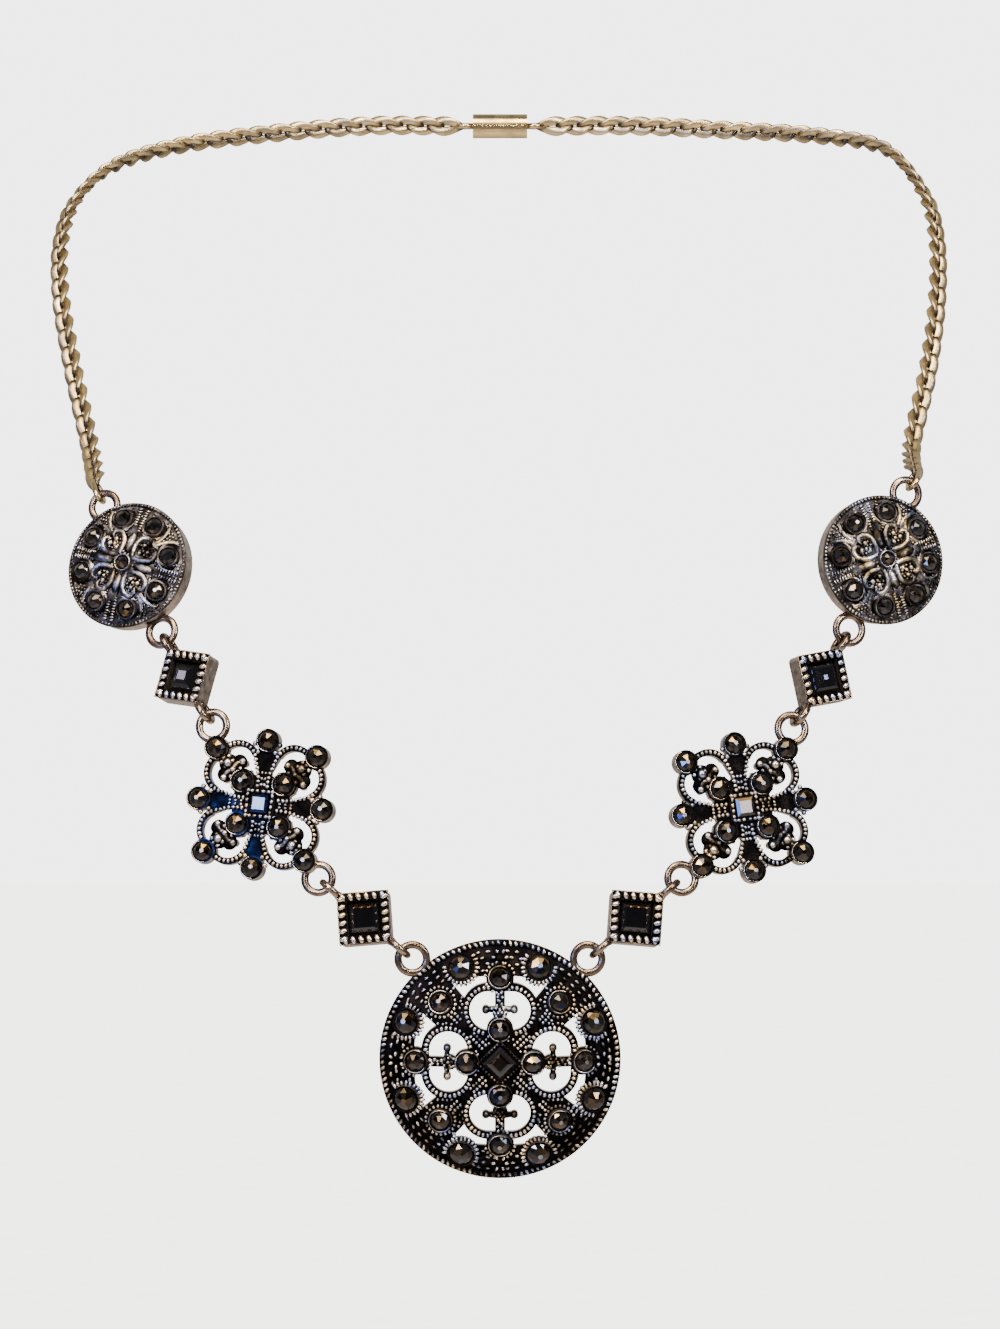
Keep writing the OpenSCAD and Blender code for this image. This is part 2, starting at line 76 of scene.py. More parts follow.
# The chain's way from each end link to the nape, in mm
ROUTES = {
    "chain_left": [
        (-62.3986, -70.2075, -60.774), (-64, -60.5, -54.5), (-67, -52, -43), (-69.5, -44, -31),
        (-70, -36.5, -21.5), (-68, -27.5, -14), (-62.5, -18.5, -8), (-52, -9, -4),
        (-37, -2.5, -1.5), (-21, 1, 0), (-7.8, 2, 0),
    ],
    "chain_right": [
        (63.5811, -76.5277, -59.5426), (64, -64, -54.5), (67, -55.5, -43), (69, -47, -31.5),
        (69.5, -39, -21.5), (68, -30.5, -13.5), (62.5, -19.5, -5.5), (52, -9.5, -2.5),
        (37, -2.5, -1), (21, 1, 0), (7.8, 2, 0),
    ],
}
# The radius of each dome and the height of its top; the flowers are flat plates
DOME = (40.2813, 5.0)
SMALL_DOME = (38.3462, 4.3)
PLATE = (None, 1.3)
# The soldered rings, and how far a ring's wrap stands off the cast ring under it
RING_RADIUS = 2.06
RING_WIRE = 0.49
RING_SKIN = 0.025
# Each casting's two flat rings: their distance from its middle, their angles and their height
RINGS = {
    "medallion": (20.0, (49, 131), 0.75),
    "flower_left": (14.5, (129, -45), 0.75),
    "flower_right": (14.5, (49, -140), 0.75),
    "small_medallion_left": (11.6, (135, -45), 0.9),
    "small_medallion_right": (11.6, (45, -135), 0.9),
}
# Round stones, pits and dark spots: their distance from the middle and their angle from +Y
MEDALLION_SMALL = [(4.9, 90 * k) for k in range(4)] + [(12.5, 45 * k) for k in range(8)]
MEDALLION_RIM = [(15.1, 45 * k + 22.5) for k in range(8)]
FLOWER_STONES = (
    [(9.7, 90 * k) for k in range(4)] + [(11.2, 90 * k + 45) for k in range(4)]
    + [(4.6, 90 * k + 45) for k in range(4)]
)
SMALL_STONES = [(7.15, 45 * k + 22.5) for k in range(8)]
PITS = [(15.35, 90 * k) for k in range(4)]
DARK = PITS + [(r, 90 * k + 45) for k in range(4) for r in (7.0, 7.6)]
# Every cut stone's shape is 1 mm across and as high as this
ROUND_HEIGHT = 0.4
SQUARE_HEIGHT = 0.36
# A square stone's steps from its foot to its table, each half its width and its height
LOWER_STEPS = ((0.5, 0.0), (0.5, 0.14), (0.42, 0.27), (0.32, 0.345), (0.3, SQUARE_HEIGHT))
UPPER_STEPS = {
    "left": ((0.5, 0.0), (0.5, 0.1), (0.38, 0.23), (0.26, 0.31), (0.14, SQUARE_HEIGHT)),
    "right": ((0.5, 0.0), (0.5, 0.16), (0.38, 0.29), (0.3, 0.335), (0.07, SQUARE_HEIGHT)),
}
FLOWER_STEPS = ((0.5, 0.0), (0.5, 0.14), (0.44, 0.27), (0.3, SQUARE_HEIGHT))
MEDALLION_STEPS = ((0.5, 0.0), (0.5, 0.14), (0.4, 0.25), (0.32, 0.325), (0.22, SQUARE_HEIGHT))
# Silver that was never wiped and silver that was wiped down to grey, over their stains
BLACKENED = ((0.35, "#040404"), (0.55, "#0b0909"), (0.75, "#1c1716"))
GREYED = ((0.35, "#0d0c0b"), (0.55, "#383635"), (0.75, "#7c7875"))
# What a casting is made of, in the order of its material numbers
CASTING = ("oxidised silver beads", "champagne silver wire", "blackened silver pockets")
WIRE, BLACK = 1, 2
GLASS = ("foil backed dark glass",)
# What every size says of itself
LENGTH = {"unit": "LENGTH", "subtype": "DISTANCE"}


class NecklaceSizes(bpy.types.PropertyGroup):
    bead: FloatProperty(
        name="Bead", description="Diameter of the beads along a petal", default=0.00056, **LENGTH,
    )
    rim_bead: FloatProperty(
        name="Rim bead", description="Diameter of the beads on the medallion's rim",
        default=0.00088, **LENGTH,
    )
    grain: FloatProperty(
        name="Grain", description="Diameter of the fine grains between the beads",
        default=0.00048, **LENGTH,
    )
    link_pitch: FloatProperty(
        name="Link pitch", description="Length that each curb link adds to the chain",
        default=0.0034, **LENGTH,
    )
    link_wire: FloatProperty(
        name="Link wire", description="Diameter of the curb chain's wire before it is rolled",
        default=0.00104, **LENGTH,
    )
    link_width: FloatProperty(
        name="Link width", description="Width of a curb link before its wire is rolled",
        default=0.00278, **LENGTH,
    )


class NecklaceColours(bpy.types.PropertyGroup):
    silver: StringProperty(
        name="Silver", description="Bright tops of the beads", default="#d6cec9"
    )
    oxide: StringProperty(
        name="Oxide", description="Blackened recesses of the castings", default="#0d0b0a"
    )
    champagne: StringProperty(
        name="Champagne silver", description="Rings and edges", default="#68594b"
    )
    chain: StringProperty(
        name="Chain", description="Pale gold wash of the curb chain", default="#b09b70"
    )
    hematite: StringProperty(
        name="Hematite glass", description="Body of the round stones", default="#292622"
    )
    floor: StringProperty(name="Floor", description="Pale studio floor", default="#e9e7e4")


def size_mm(name):
    """One of the sizes, in mm"""
    return getattr(bpy.context.scene.necklace_sizes, name) * 1000


def colours():
    return bpy.context.scene.necklace_colours


# Materials

def linear(hex_colour):
    """The linear colour of an sRGB hex value"""
    parts = [int(hex_colour[k:k + 2], 16) / 255 for k in (1, 3, 5)]
    return tuple(c / 12.92 if c <= 0.04045 else ((c + 0.055) / 1.055) ** 2.4 for c in parts) + (1,)


def add_node(tree, kind, links=None, values=None, stops=(), out=0, **settings):
    """A node with its inputs' links and values, a ramp's stops and its settings: its output"""
    node = tree.nodes.new(kind)
    for key, value in settings.items():
        setattr(node, key, value)
    for socket, value in (values or {}).items():
        node.inputs[socket].default_value = value
    for socket, source in (links or {}).items():
        tree.links.new(source, node.inputs[socket])
    if stops:
        elements = node.color_ramp.elements
        while len(elements) < len(stops):
            elements.new(0.5)
        for element, (place, colour) in zip(elements, stops):
            element.position = place
            element.color = linear(colour)
    return node.outputs[out] if node.outputs else None


def start_material(name, metallic=1.0):
    """A new material, the function that adds its nodes, its shader and the place on the object"""
    material = bpy.data.materials.new(name)
    material.use_nodes = True
    tree = material.node_tree
    shader = tree.nodes["Principled BSDF"]
    shader.inputs["Metallic"].default_value = metallic
    node = partial(add_node, tree)
    return material, node, shader, node("ShaderNodeTexCoord", out="Object")


def connect(shader, **sources):
    """Links each source to the shader's input of that name"""
    for name, source in sources.items():
        shader.id_data.links.new(source, shader.inputs[name.replace("_", " ")])


def clouded(node, place, scale, detail, stops):
    """A noise over the object, and the colours that a ramp gives it"""
    noise = node("ShaderNodeTexNoise", {0: place}, {"Scale": scale, "Detail": detail})
    return noise, node("ShaderNodeValToRGB", {0: noise}, stops=stops)


def surface(node, place, scale, detail, strength, depth):
    """The fine unevenness of a metal's surface"""
    skin = node("ShaderNodeTexNoise", {0: place}, {"Scale": scale, "Detail": detail})
    return node("ShaderNodeBump", {"Height": skin}, {"Strength": strength, "Distance": depth})


def silver_beads(name):
    """Cast silver plate, blackened and then wiped: black at each bead's foot, bright on its top,
    which is partly wiped silver and partly a painted highlight
    """
    material, node, shader, place = start_material(name)
    raised = node("ShaderNodeAttribute", out="Fac", attribute_name="raised")
    # Patches of 3 mm down to 0.4 mm where the wiping took off more or less of the black
    patch = node(
        "ShaderNodeTexNoise", {0: place}, {"Scale": 330.0, "Detail": 3.0, "Roughness": 0.75},
    )
    dimmed = node("ShaderNodeMath", {0: patch}, {1: 1.3, 2: -0.68}, operation="MULTIPLY_ADD")
    # The medallion's lower third is painted darker: painted shade where the dome turns down from
    # the light above, and silver wiped less there
    height = node("ShaderNodeSeparateXYZ", {0: place}, out=2)
    lower_shade = node(
        "ShaderNodeMapRange", {0: height},
        {"From Min": -0.163, "From Max": -0.148, "To Min": -0.1, "To Max": 0.0},
    )
    dimmed = node("ShaderNodeMath", {0: dimmed, 1: lower_shade}, operation="ADD")
    top = node("ShaderNodeMath", {0: raised, 1: dimmed}, operation="ADD")
    wiped = node("ShaderNodeValToRGB", {0: top}, stops=[
        (0.52, colours().oxide), (0.68, "#37332f"), (0.82, "#8a847d"), (0.95, colours().silver),
    ])
    # Tarnish over 4 mm, bluish in one place and yellowish in the next
    _, tint = clouded(node, place, 240.0, 2.0, [
        (0.4, "#b3c4e2"), (0.5, "#f0efea"), (0.6, "#fbecc6"),
    ])
    colour = node(
        "ShaderNodeMix", {6: wiped, 7: tint}, {0: 1.0}, out=2, data_type="RGBA",
        blend_type="MULTIPLY",
    )
    rough = node(
        "ShaderNodeMapRange", {0: top},
        {"From Min": 0.6, "From Max": 0.95, "To Min": 0.5, "To Max": 0.27},
    )
    # Casting skin, grains of 0.08 mm
    skin = surface(node, place, 12000.0, 2.0, 0.5, 0.00002)
    connect(shader, Base_Color=colour, Roughness=rough, Normal=skin)
    return material


def oxidised_silver(name, face, stops, painted_blue_reflection):
    """Cast silver plate left black in the recesses of its face, satin and pale on walls and back"""
    material, node, shader, place = start_material(name)
    normal = node("ShaderNodeTexCoord", out="Normal")
    facing = node(
        "ShaderNodeVectorMath", {0: normal}, {1: face}, out="Value", operation="DOT_PRODUCT",
    )
    wall = node(
        "ShaderNodeMapRange", {0: facing},
        {"From Min": 0.1, "From Max": 0.5, "To Min": 1.0, "To Max": 0.0},
    )
    # Stains of 2 mm on the face, and a finer cloudiness of 1 mm on the walls and the back
    stain, dark = clouded(node, place, 500.0, 4.0, stops)
    if painted_blue_reflection:
        # A painted blue reflection, which the left flower has on its left and lower arms
        low_left = node(
            "ShaderNodeVectorMath", {0: place}, {1: (-1, 0, -1)}, out="Value",
            operation="DOT_PRODUCT",
        )
        share = node("ShaderNodeMapRange", {0: low_left}, {"From Min": 0.147, "From Max": 0.151})
        blue = node("ShaderNodeValToRGB", {0: stain}, stops=[
            (0.35, "#030408"), (0.5, "#060c1f"), (0.62, "#10214a"),
        ])
        dark = node("ShaderNodeMix", {0: share, 6: dark, 7: blue}, out=2, data_type="RGBA")
    _, satin = clouded(node, place, 1100.0, 5.0, [
        (0.3, "#786c62"), (0.5, "#9b8e81"), (0.72, "#baac9b"),
    ])
    colour = node("ShaderNodeMix", {0: wall, 6: dark, 7: satin}, out=2, data_type="RGBA")
    rough = node("ShaderNodeMapRange", {0: wall}, {"To Min": 0.5, "To Max": 0.36})
    # Casting skin, grains of 0.16 mm
    skin = surface(node, place, 6000.0, 3.0, 0.6, 0.00004)
    connect(shader, Base_Color=colour, Roughness=rough, Normal=skin)
    return material


def blackened_silver(name):
    """Silver plate under the thick black that collects in deep pockets, dull and a little uneven"""
    material, node, shader, place = start_material(name)
    # Stains of 1.5 mm
    stain, colour = clouded(node, place, 700.0, 3.0, BLACKENED)
    rough = node(
        "ShaderNodeMapRange", {0: stain},
        {"From Min": 0.3, "From Max": 0.7, "To Min": 0.6, "To Max": 0.4},
    )
    # Crust of the black, 0.15 mm
    crust = surface(node, place, 6500.0, 3.0, 0.6, 0.00004)
    connect(shader, Base_Color=colour, Roughness=rough, Normal=crust)
    return material


def champagne_silver(name, shade, middle, light, rough=(0.32, 0.18), link_end_shade=None):
    """Drawn wire with a warm silver plate, polished by wear and grey where it was not rubbed"""
    material, node, shader, place = start_material(name)
    # Worn patches of 3 mm
    wear, colour = clouded(node, place, 320.0, 2.0, [
        (0.32, shade), (0.48, getattr(colours(), middle)), (0.68, light),
    ])
    if link_end_shade:
        # Painted shade on the ends of the links, where they lie inside their neighbours
        raised = node("ShaderNodeAttribute", out="Fac", attribute_name="raised")
        unshaded = node("ShaderNodeMapRange", {0: raised}, {"From Min": 0.4, "From Max": 0.8})
        colour = node(
            "ShaderNodeMix", {0: unshaded, 7: colour}, {6: linear(link_end_shade)}, out=2, data_type="RGBA",
        )
    rough = node(
        "ShaderNodeMapRange", {0: wear},
        {"From Min": 0.3, "From Max": 0.7, "To Min": rough[0], "To Max": rough[1]},
    )
    # Drawing marks, 0.1 mm
    marks = surface(node, place, 10000.0, 2.0, 0.05, 0.00001)
    connect(shader, Base_Color=colour, Roughness=rough, Normal=marks)
    return material


def hematite_glass(name):
    """Dark pressed glass: near black, with painted glints and reflections on some facets"""
    material, node, shader, place = start_material(name)
    painted_glint = node("ShaderNodeAttribute", out="Fac", attribute_name="painted_glint")
    # A random clouding of 1.5 mm over the facets' painted tones
    cloud = node("ShaderNodeTexNoise", {0: place}, {"Scale": 660.0, "Detail": 2.0})
    tone = node("ShaderNodeMath", {0: cloud}, {1: 0.08, 2: -0.04}, operation="MULTIPLY_ADD")
    seen = node("ShaderNodeMath", {0: painted_glint, 1: tone}, operation="ADD")
    # Over the dark glass, the painted glints: brown and cream glints, navy and blue reflections and
    # a pale grey reflection on the table
    colour = node("ShaderNodeValToRGB", {0: seen}, stops=[
        (0.03, "#050507"), (0.14, "#0c0d0f"), (0.28, colours().hematite), (0.36, "#50443a"),
        (0.46, "#755d3c"), (0.53, "#171d38"), (0.62, "#2a356b"), (0.7, "#6d5b36"),
        (0.82, "#a08a5c"), (0.9, "#5f7c9c"), (0.96, "#827d77"),
    ])
    rough = node(
        "ShaderNodeMapRange", {0: seen},
        {"From Min": 0.4, "From Max": 0.9, "To Min": 0.05, "To Max": 0.4},
    )
    # Where no glint is painted, the black glass is what shows; the painted glints are metallic
    glint_metallic = node("ShaderNodeMapRange", {0: seen}, {"From Min": 0.14, "From Max": 0.3})
    connect(shader, Base_Color=colour, Roughness=rough, Metallic=glint_metallic)
    return material


FINISHES = {
    "oxidised silver beads": (silver_beads,),
    "blackened silver pockets": (blackened_silver,),
    "foil backed dark glass": (hematite_glass,),
    "champagne silver wire": (champagne_silver, "#3a3029", "champagne", "#93826b"),
    "pale gold washed clasp": (champagne_silver, "#786e5c", "chain", "#cbb37e"),
    # The chain's last colour is the painted shade on the ends of its links
    "pale gold washed chain": (
        champagne_silver, "#94866a", "chain", "#d6c08e", (0.42, 0.3), "#4a4338",
    ),
}


def finish(name):
    """The material of that name, made the first time that it is asked for"""
    make, *looks = FINISHES[name]
    return bpy.data.materials.get(name) or make(name, *looks)


# Shapes and places

def move(x, y, z):
    return Matrix.Translation((x, y, z))


def spin(angle, axis="Z"):
    """A turn by an angle in degrees"""
    return Matrix.Rotation(radians(angle), 4, axis)


def stretch(x, y=None, z=None):
    """A scale along each axis, or one for all three"""
    return Matrix.Diagonal((x, x if y is None else y, x if z is None else z, 1))


def placed(name):
    """From a casting's flat layout in mm to where it hangs, in metres"""
    at, (turn, yaw, pitch) = PLACES[name]
    return MM @ move(*at) @ spin(yaw) @ spin(90 + pitch, "X") @ spin(turn)


def on_axis(dome, at, angle):
    """A place at that distance from the middle of a dome, turned from +Y, its z out of the dome"""
    radius, top = dome
    if radius is None:
        return spin(angle) @ move(0, at, top)
    tilt = Matrix.Rotation(-asin(at / radius), 4, "X")
    return spin(angle) @ move(0, 0, top - radius) @ tilt @ move(0, 0, radius)


def cup(dome, at, angle):
    """The same place with its y kept towards the top of the layout"""
    return on_axis(dome, at, angle) @ spin(-angle)


def shape(name, bm, smooth=True, shine=1.0):
    """A mesh to be stamped, each vertex marked with how high it stands and so how bright its top is
    painted, as wiped silver and as a painted highlight
    """
    layer = bm.verts.layers.float.new("raised")
    low = min(v.co.z for v in bm.verts)
    tall = max(v.co.z for v in bm.verts) - low
    for v in bm.verts:
        v[layer] = shine * (v.co.z - low) / tall
    mesh = bpy.data.meshes.new(name)
    for face in bm.faces:
        face.smooth = smooth
    bm.to_mesh(mesh)
    bm.free()
    return mesh


def ball_shape(shine=1.0, around=10, up=7):
    """A ball of radius 1, the painted highlight on its top brighter or duller with shine"""
    bm = bmesh.new()
    bmesh.ops.create_uvsphere(bm, u_segments=around, v_segments=up, radius=1.0)
    return shape("ball", bm, shine=shine)


def bead_shape(shine=1.0):
    """A coarser ball, for the hundreds of beads"""
    return ball_shape(shine, 8, 5)


def torus_shape(radius, wire, around, sides):
    """A flat ring of round wire"""
    bm = bmesh.new()
    made = bmesh.ops.create_circle(
        bm, segments=sides, radius=wire, matrix=move(radius, 0, 0) @ spin(90, "X"),
    )
    bmesh.ops.spin(
        bm, geom=made["verts"] + list(bm.edges), cent=(0, 0, 0), axis=(0, 0, 1),
        angle=2 * pi, steps=around, use_merge=True, use_duplicate=False,
    )
    bmesh.ops.recalc_face_normals(bm, faces=bm.faces)
    return shape("ring", bm)


def stamp(bm, mesh, matrix, material=0):
    """Adds a copy of the mesh to bm, moved by the matrix"""
    copy = mesh.copy()
    copy.transform(matrix)
    if material:
        for polygon in copy.polygons:
            polygon.material_index = material
    bm.from_mesh(copy)
    bpy.data.meshes.remove(copy)


def add_wire(bm, points, wire, closed=False, flat=1.0, swell=None, shine=1.0, material=0):
    """A wire along the points, flattened, swollen or left dull where asked"""
    curve = bpy.data.curves.new("wire", "CURVE")
    curve.dimensions = "3D"
    curve.bevel_depth = wire
    curve.bevel_resolution = 1
    curve.use_fill_caps = True
    spline = curve.splines.new("POLY")
    spline.points.add(len(points) - 1)
    for k, (point, co) in enumerate(zip(spline.points, points)):
        point.co = (*co, 1)
        point.radius = swell[k] if swell else 1.0
    spline.use_cyclic_u = closed
    carrier = bpy.data.objects.new("wire", curve)
    bpy.context.scene.collection.objects.link(carrier)
    mesh = bpy.data.meshes.new_from_object(carrier)
    bpy.data.objects.remove(carrier)
    bpy.data.curves.remove(curve)
    layer = mesh.attributes.new("raised", "FLOAT", "POINT")
    # The part that stands above the wire's middle line is painted bright, as wiped silver and as a
    # painted highlight
    tree = KDTree(len(points))
    for k, co in enumerate(points):
        tree.insert(co, k)
    tree.balance()
    for v, value in zip(mesh.vertices, layer.data):
        near = tree.find(v.co)[0]
        above = v.co.z - near.z
        value.value = shine * min(1.0, max(0.0, 0.6 + 0.4 * above / wire))
        v.co.z = near.z + above * flat
    for polygon in mesh.polygons:
        polygon.use_smooth = True
        polygon.material_index = material
    bm.from_mesh(mesh)
    bpy.data.meshes.remove(mesh)


def arc(cx, cy, r, start, end, steps=24):
    """Points on an arc, its angles in degrees"""
    angles = [radians(start + (end - start) * k / steps) for k in range(steps + 1)]
    return [(cx + r * cos(angle), cy + r * sin(angle)) for angle in angles]


def along(path, pitch):
    """Places at equal steps along a path: x, y and the path's direction"""
    lengths = [hypot(b[0] - a[0], b[1] - a[1]) for a, b in zip(path, path[1:])]
    total = sum(lengths)
    count = max(1, round(total / pitch))
    places, walked, k = [], 0.0, 0
    for n in range(count + 1):
        target = total * n / count
        while k < len(lengths) - 1 and walked + lengths[k] < target - 1e-9:
            walked += lengths[k]
            k += 1
        (ax, ay), (bx, by) = path[k], path[k + 1]
        t = (target - walked) / lengths[k]
        places.append((ax + (bx - ax) * t, ay + (by - ay) * t, atan2(by - ay, bx - ax)))
    # A closed path ends where it starts
    if hypot(path[0][0] - path[-1][0], path[0][1] - path[-1][1]) < 1e-6:
        places.pop()
    return places


def turned(path, angle, flip=False):
    """The path turned about the middle by degrees, mirrored first if flip is set"""
    c, s = cos(radians(angle)), sin(radians(angle))
    sign = -1 if flip else 1
    return [(sign * x * c - y * s, sign * x * s + y * c) for x, y in path]


def quarters(path, offset=0):
    """The path in each quarter of a casting, first turned by the offset"""
    return [turned(path, offset + 90 * k) for k in range(4)]


def not_near(x, y, places, room):
    """Whether the point keeps that far from places given as a radius and an angle from +Y"""
    for r, a in places:
        if hypot(x + r * sin(radians(a)), y - r * cos(radians(a))) < room:
            return False
    return True


class Ground:
    """The front of a CAD node in its flat layout, on which beads and wires are set"""

    def __init__(self, node, dome):
        inverse = placed(node).inverted()
        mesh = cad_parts[node].data
        mesh.calc_loop_triangles()
        self.tree = BVHTree.FromPolygons(
            [inverse @ v.co for v in mesh.vertices],
            [tuple(t.vertices) for t in mesh.loop_triangles],
        )
        self.radius, self.top = dome
        self.taken = []

    def height(self, x, y):
        """Height of the front there, or None where it is open or only its back lies below"""
        far_above, back = 30, -0.5
        hit = self.tree.ray_cast(Vector((x, y, far_above)), Vector((0, 0, -1)))[0]
        return None if hit is None or hit.z < back else hit.z

    def dome(self, x, y):
        """Height of the dome or plate itself, without what stands on it or cuts it"""
        if self.radius is None:
            return self.top
        return self.top - self.radius + sqrt(self.radius ** 2 - x * x - y * y)

    def solid(self, x, y, room):
        """Whether the bare dome or plate goes on for that room all round"""
        allowed = 0.2 + 0.25 * room
        for k in range(6):
            h = self.height(x + room * cos(k * pi / 3), y + room * sin(k * pi / 3))
            if h is None or abs(h - self.dome(x, y)) > allowed:
                return False
        return True

    def spaced(self, x, y, room):
        """Whether the point keeps that far from the beads that are set already"""
        return all(abs(x - a) > room or abs(y - b) > room or hypot(x - a, y - b) > room
                   for a, b in self.taken)

    def seat(self, x, y, lift=0.0, turn=0.0, z=None):
        """A place on the dome or plate, its z straight out of it"""
        if self.radius is None:
            normal = Vector((0, 0, 1))
        else:
            normal = Vector((x, y, sqrt(self.radius ** 2 - x * x - y * y))) / self.radius
        point = Vector((x, y, self.dome(x, y) if z is None else z)) + normal * lift
        upright = Vector((0, 0, 1)).rotation_difference(normal).to_matrix().to_4x4()
        return move(*point) @ upright @ Matrix.Rotation(turn, 4, "Z")


def bead_row(bm, bead, ground, path, pitch, size, keep=None, z=None, slant=0.0, high=1.0):
    """Beads along a path, a little sunk into the surface. size is their length along and across"""
    rng = random.Random(round(1000 * path[0][0] + 777 * path[0][1]))
    for x, y, turn in along(path, pitch):
        if keep is not None and not keep(x, y):
            continue
        tall = high * (size[0] + size[1]) / 2 * rng.uniform(0.8, 1.15)
        at = ground.seat(x, y, tall * 0.3, turn + slant + rng.uniform(-0.25, 0.25), z)
        lean = Matrix.Rotation(rng.uniform(-0.2, 0.2), 4, (rng.uniform(-1, 1), 1, 0))
        half = [s / 2 * rng.uniform(0.88, 1.08) for s in size]
        stamp(bm, bead, at @ lean @ stretch(*half, tall / 2))
        ground.taken.append((x, y))


def grains(bm, bead, ground, size, pitch, wanted, room, clear, seed, reach):
    """Fine grains in staggered rows over what the beads leave bare"""
    rng = random.Random(seed)
    tree = KDTree(len(ground.taken))
    for k, (x, y) in enumerate(ground.taken):
        tree.insert((x, y, 0), k)
    tree.balance()
    rows = ceil(reach / pitch)
    for row in range(-rows, rows + 1):
        for column in range(-rows, rows + 1):
            x = (column + 0.5 * (row % 2)) * pitch + rng.uniform(-0.16, 0.16) * pitch
            y = row * pitch * 0.866 + rng.uniform(-0.16, 0.16) * pitch
            if (
                not wanted(x, y) or tree.find((x, y, 0))[2] < clear
                or not ground.solid(x, y, room)
            ):
                continue
            r = size / 2 * rng.uniform(0.8, 1.15)
            stamp(bm, bead, ground.seat(x, y, r * 0.5) @ stretch(r))


def lips(bm, dome, stones, radius, high, start, end, wire=0.075):
    """The thin edge pressed over each stone, laid from one angle to the other on the side where its
    highlight falls, its top painted bright as a highlight
    """
    for at, angle in stones:
        seat = cup(dome, at, angle) @ move(0, 0, high)
        points = [seat @ Vector((x, y, 0)) for x, y in arc(0, 0, radius, start, end)]
        add_wire(bm, points, wire, shine=1.05)


def polished(name, bm, place, body, finishes, node=None):
    """Turns the flat layout to where it hangs and makes it a piece"""
    bmesh.ops.transform(bm, matrix=place, verts=bm.verts)
    mesh = bpy.data.meshes.new(name)
    bm.to_mesh(mesh)
    bm.free()
    for material in finishes:
        mesh.materials.append(finish(material))
    piece = bpy.data.objects.new(name, mesh)
    bpy.context.scene.collection.objects.link(piece)
    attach(piece, body)
    if node:
        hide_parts(node)


def cast(piece, bm, casting, body):
    """Adds a casting's soldered rings of flattened wire and makes the piece"""
    # The rings' holes are those of a round wire
    wide = RING_WIRE * 1.2
    ring = torus_shape(RING_RADIUS + wide - RING_WIRE - RING_SKIN, wide, 48, 14)
    ring.transform(stretch(1, 1, (RING_WIRE + RING_SKIN) / wide))
    distance, angles, high = RINGS[casting]
    for angle in angles:
        at = move(distance * cos(radians(angle)), distance * sin(radians(angle)), high)
        stamp(bm, ring, at, WIRE)
    polished(piece, bm, placed(casting), body, CASTING)


# Faceted stones

def cut_stone(name, rings):
    """A convex stone 1 mm across from its rings: their corners, radius, height and turn"""
    bm = bmesh.new()
    for count, radius, high, offset in rings:
        bmesh.ops.create_circle(
            bm, segments=count, radius=radius, matrix=move(0, 0, high) @ spin(offset * 360 / count),
        )
    bmesh.ops.delete(bm, geom=list(bm.edges), context="EDGES_FACES")
    bmesh.ops.convex_hull(bm, input=bm.verts)
    bmesh.ops.dissolve_limit(bm, angle_limit=radians(2), verts=bm.verts, edges=bm.edges)
    bmesh.ops.recalc_face_normals(bm, faces=bm.faces)
    bm.faces.layers.float.new("painted_glint")
    return shape(name, bm, smooth=False)


def facet_tones(table, rest, lit=None, within=0, steep=(0, 2), near=None):
    """Painted tones of a square stone: its table, its facets painted as lit and the rest

    The lit facets look to within that many degrees of the top and lean between two steepnesses.
    near is the tone of the others that look that way.
    """
    def tones(lean, round_from_top):
        if round_from_top is None:
            return table
        if abs(round_from_top) >= within:
            return rest
        if steep[0] < lean < steep[1]:
            return lit
        return rest if near is None else near
    return tones


# Black all over, with a painted brown gold glint along the top of the table
PAINTED_GOLD_GLINT = facet_tones(0.03, 0.09, 0.4, 40, (0.62, 0.75), 0.13)
# Black steps up to a small table painted pale as the reflection of a window, with a painted brown
# glint on the steep facets at the top
WINDOW_DOT = {
    side: facet_tones(table, 0.09, 0.4, 40, (0.6, 2)) for side, table in zip(SIDES, (0.98, 0.89))
}
# A table painted with a blue reflection on the left, and on the right a white one with a painted
# cream glint on the facets above it
FLOWER_TABLE = {"left": facet_tones(0.89, 0.56), "right": facet_tones(1.0, 0.1, 0.8, 40)}
# The upper two facets are painted lighter as a sheen from above, so that their edges show as an
# arrow
SMOKE_UPPER_SHEEN = facet_tones(0.3, 0.16, 0.4, 60, (0, 0.6))


def set_painted_glints(bm, first, out, tones):
    """Gives each facet its painted glint tone, by how far it leans and how far round from the top
    it looks
    """
    layer = bm.faces.layers.float["painted_glint"]
    for face in list(bm.faces)[first:]:
        lean = face.normal - face.normal.project(out)
        is_table = lean.length < 0.1
        face[layer] = tones(lean.length, None if is_table else degrees(atan2(lean.x, lean.y)))


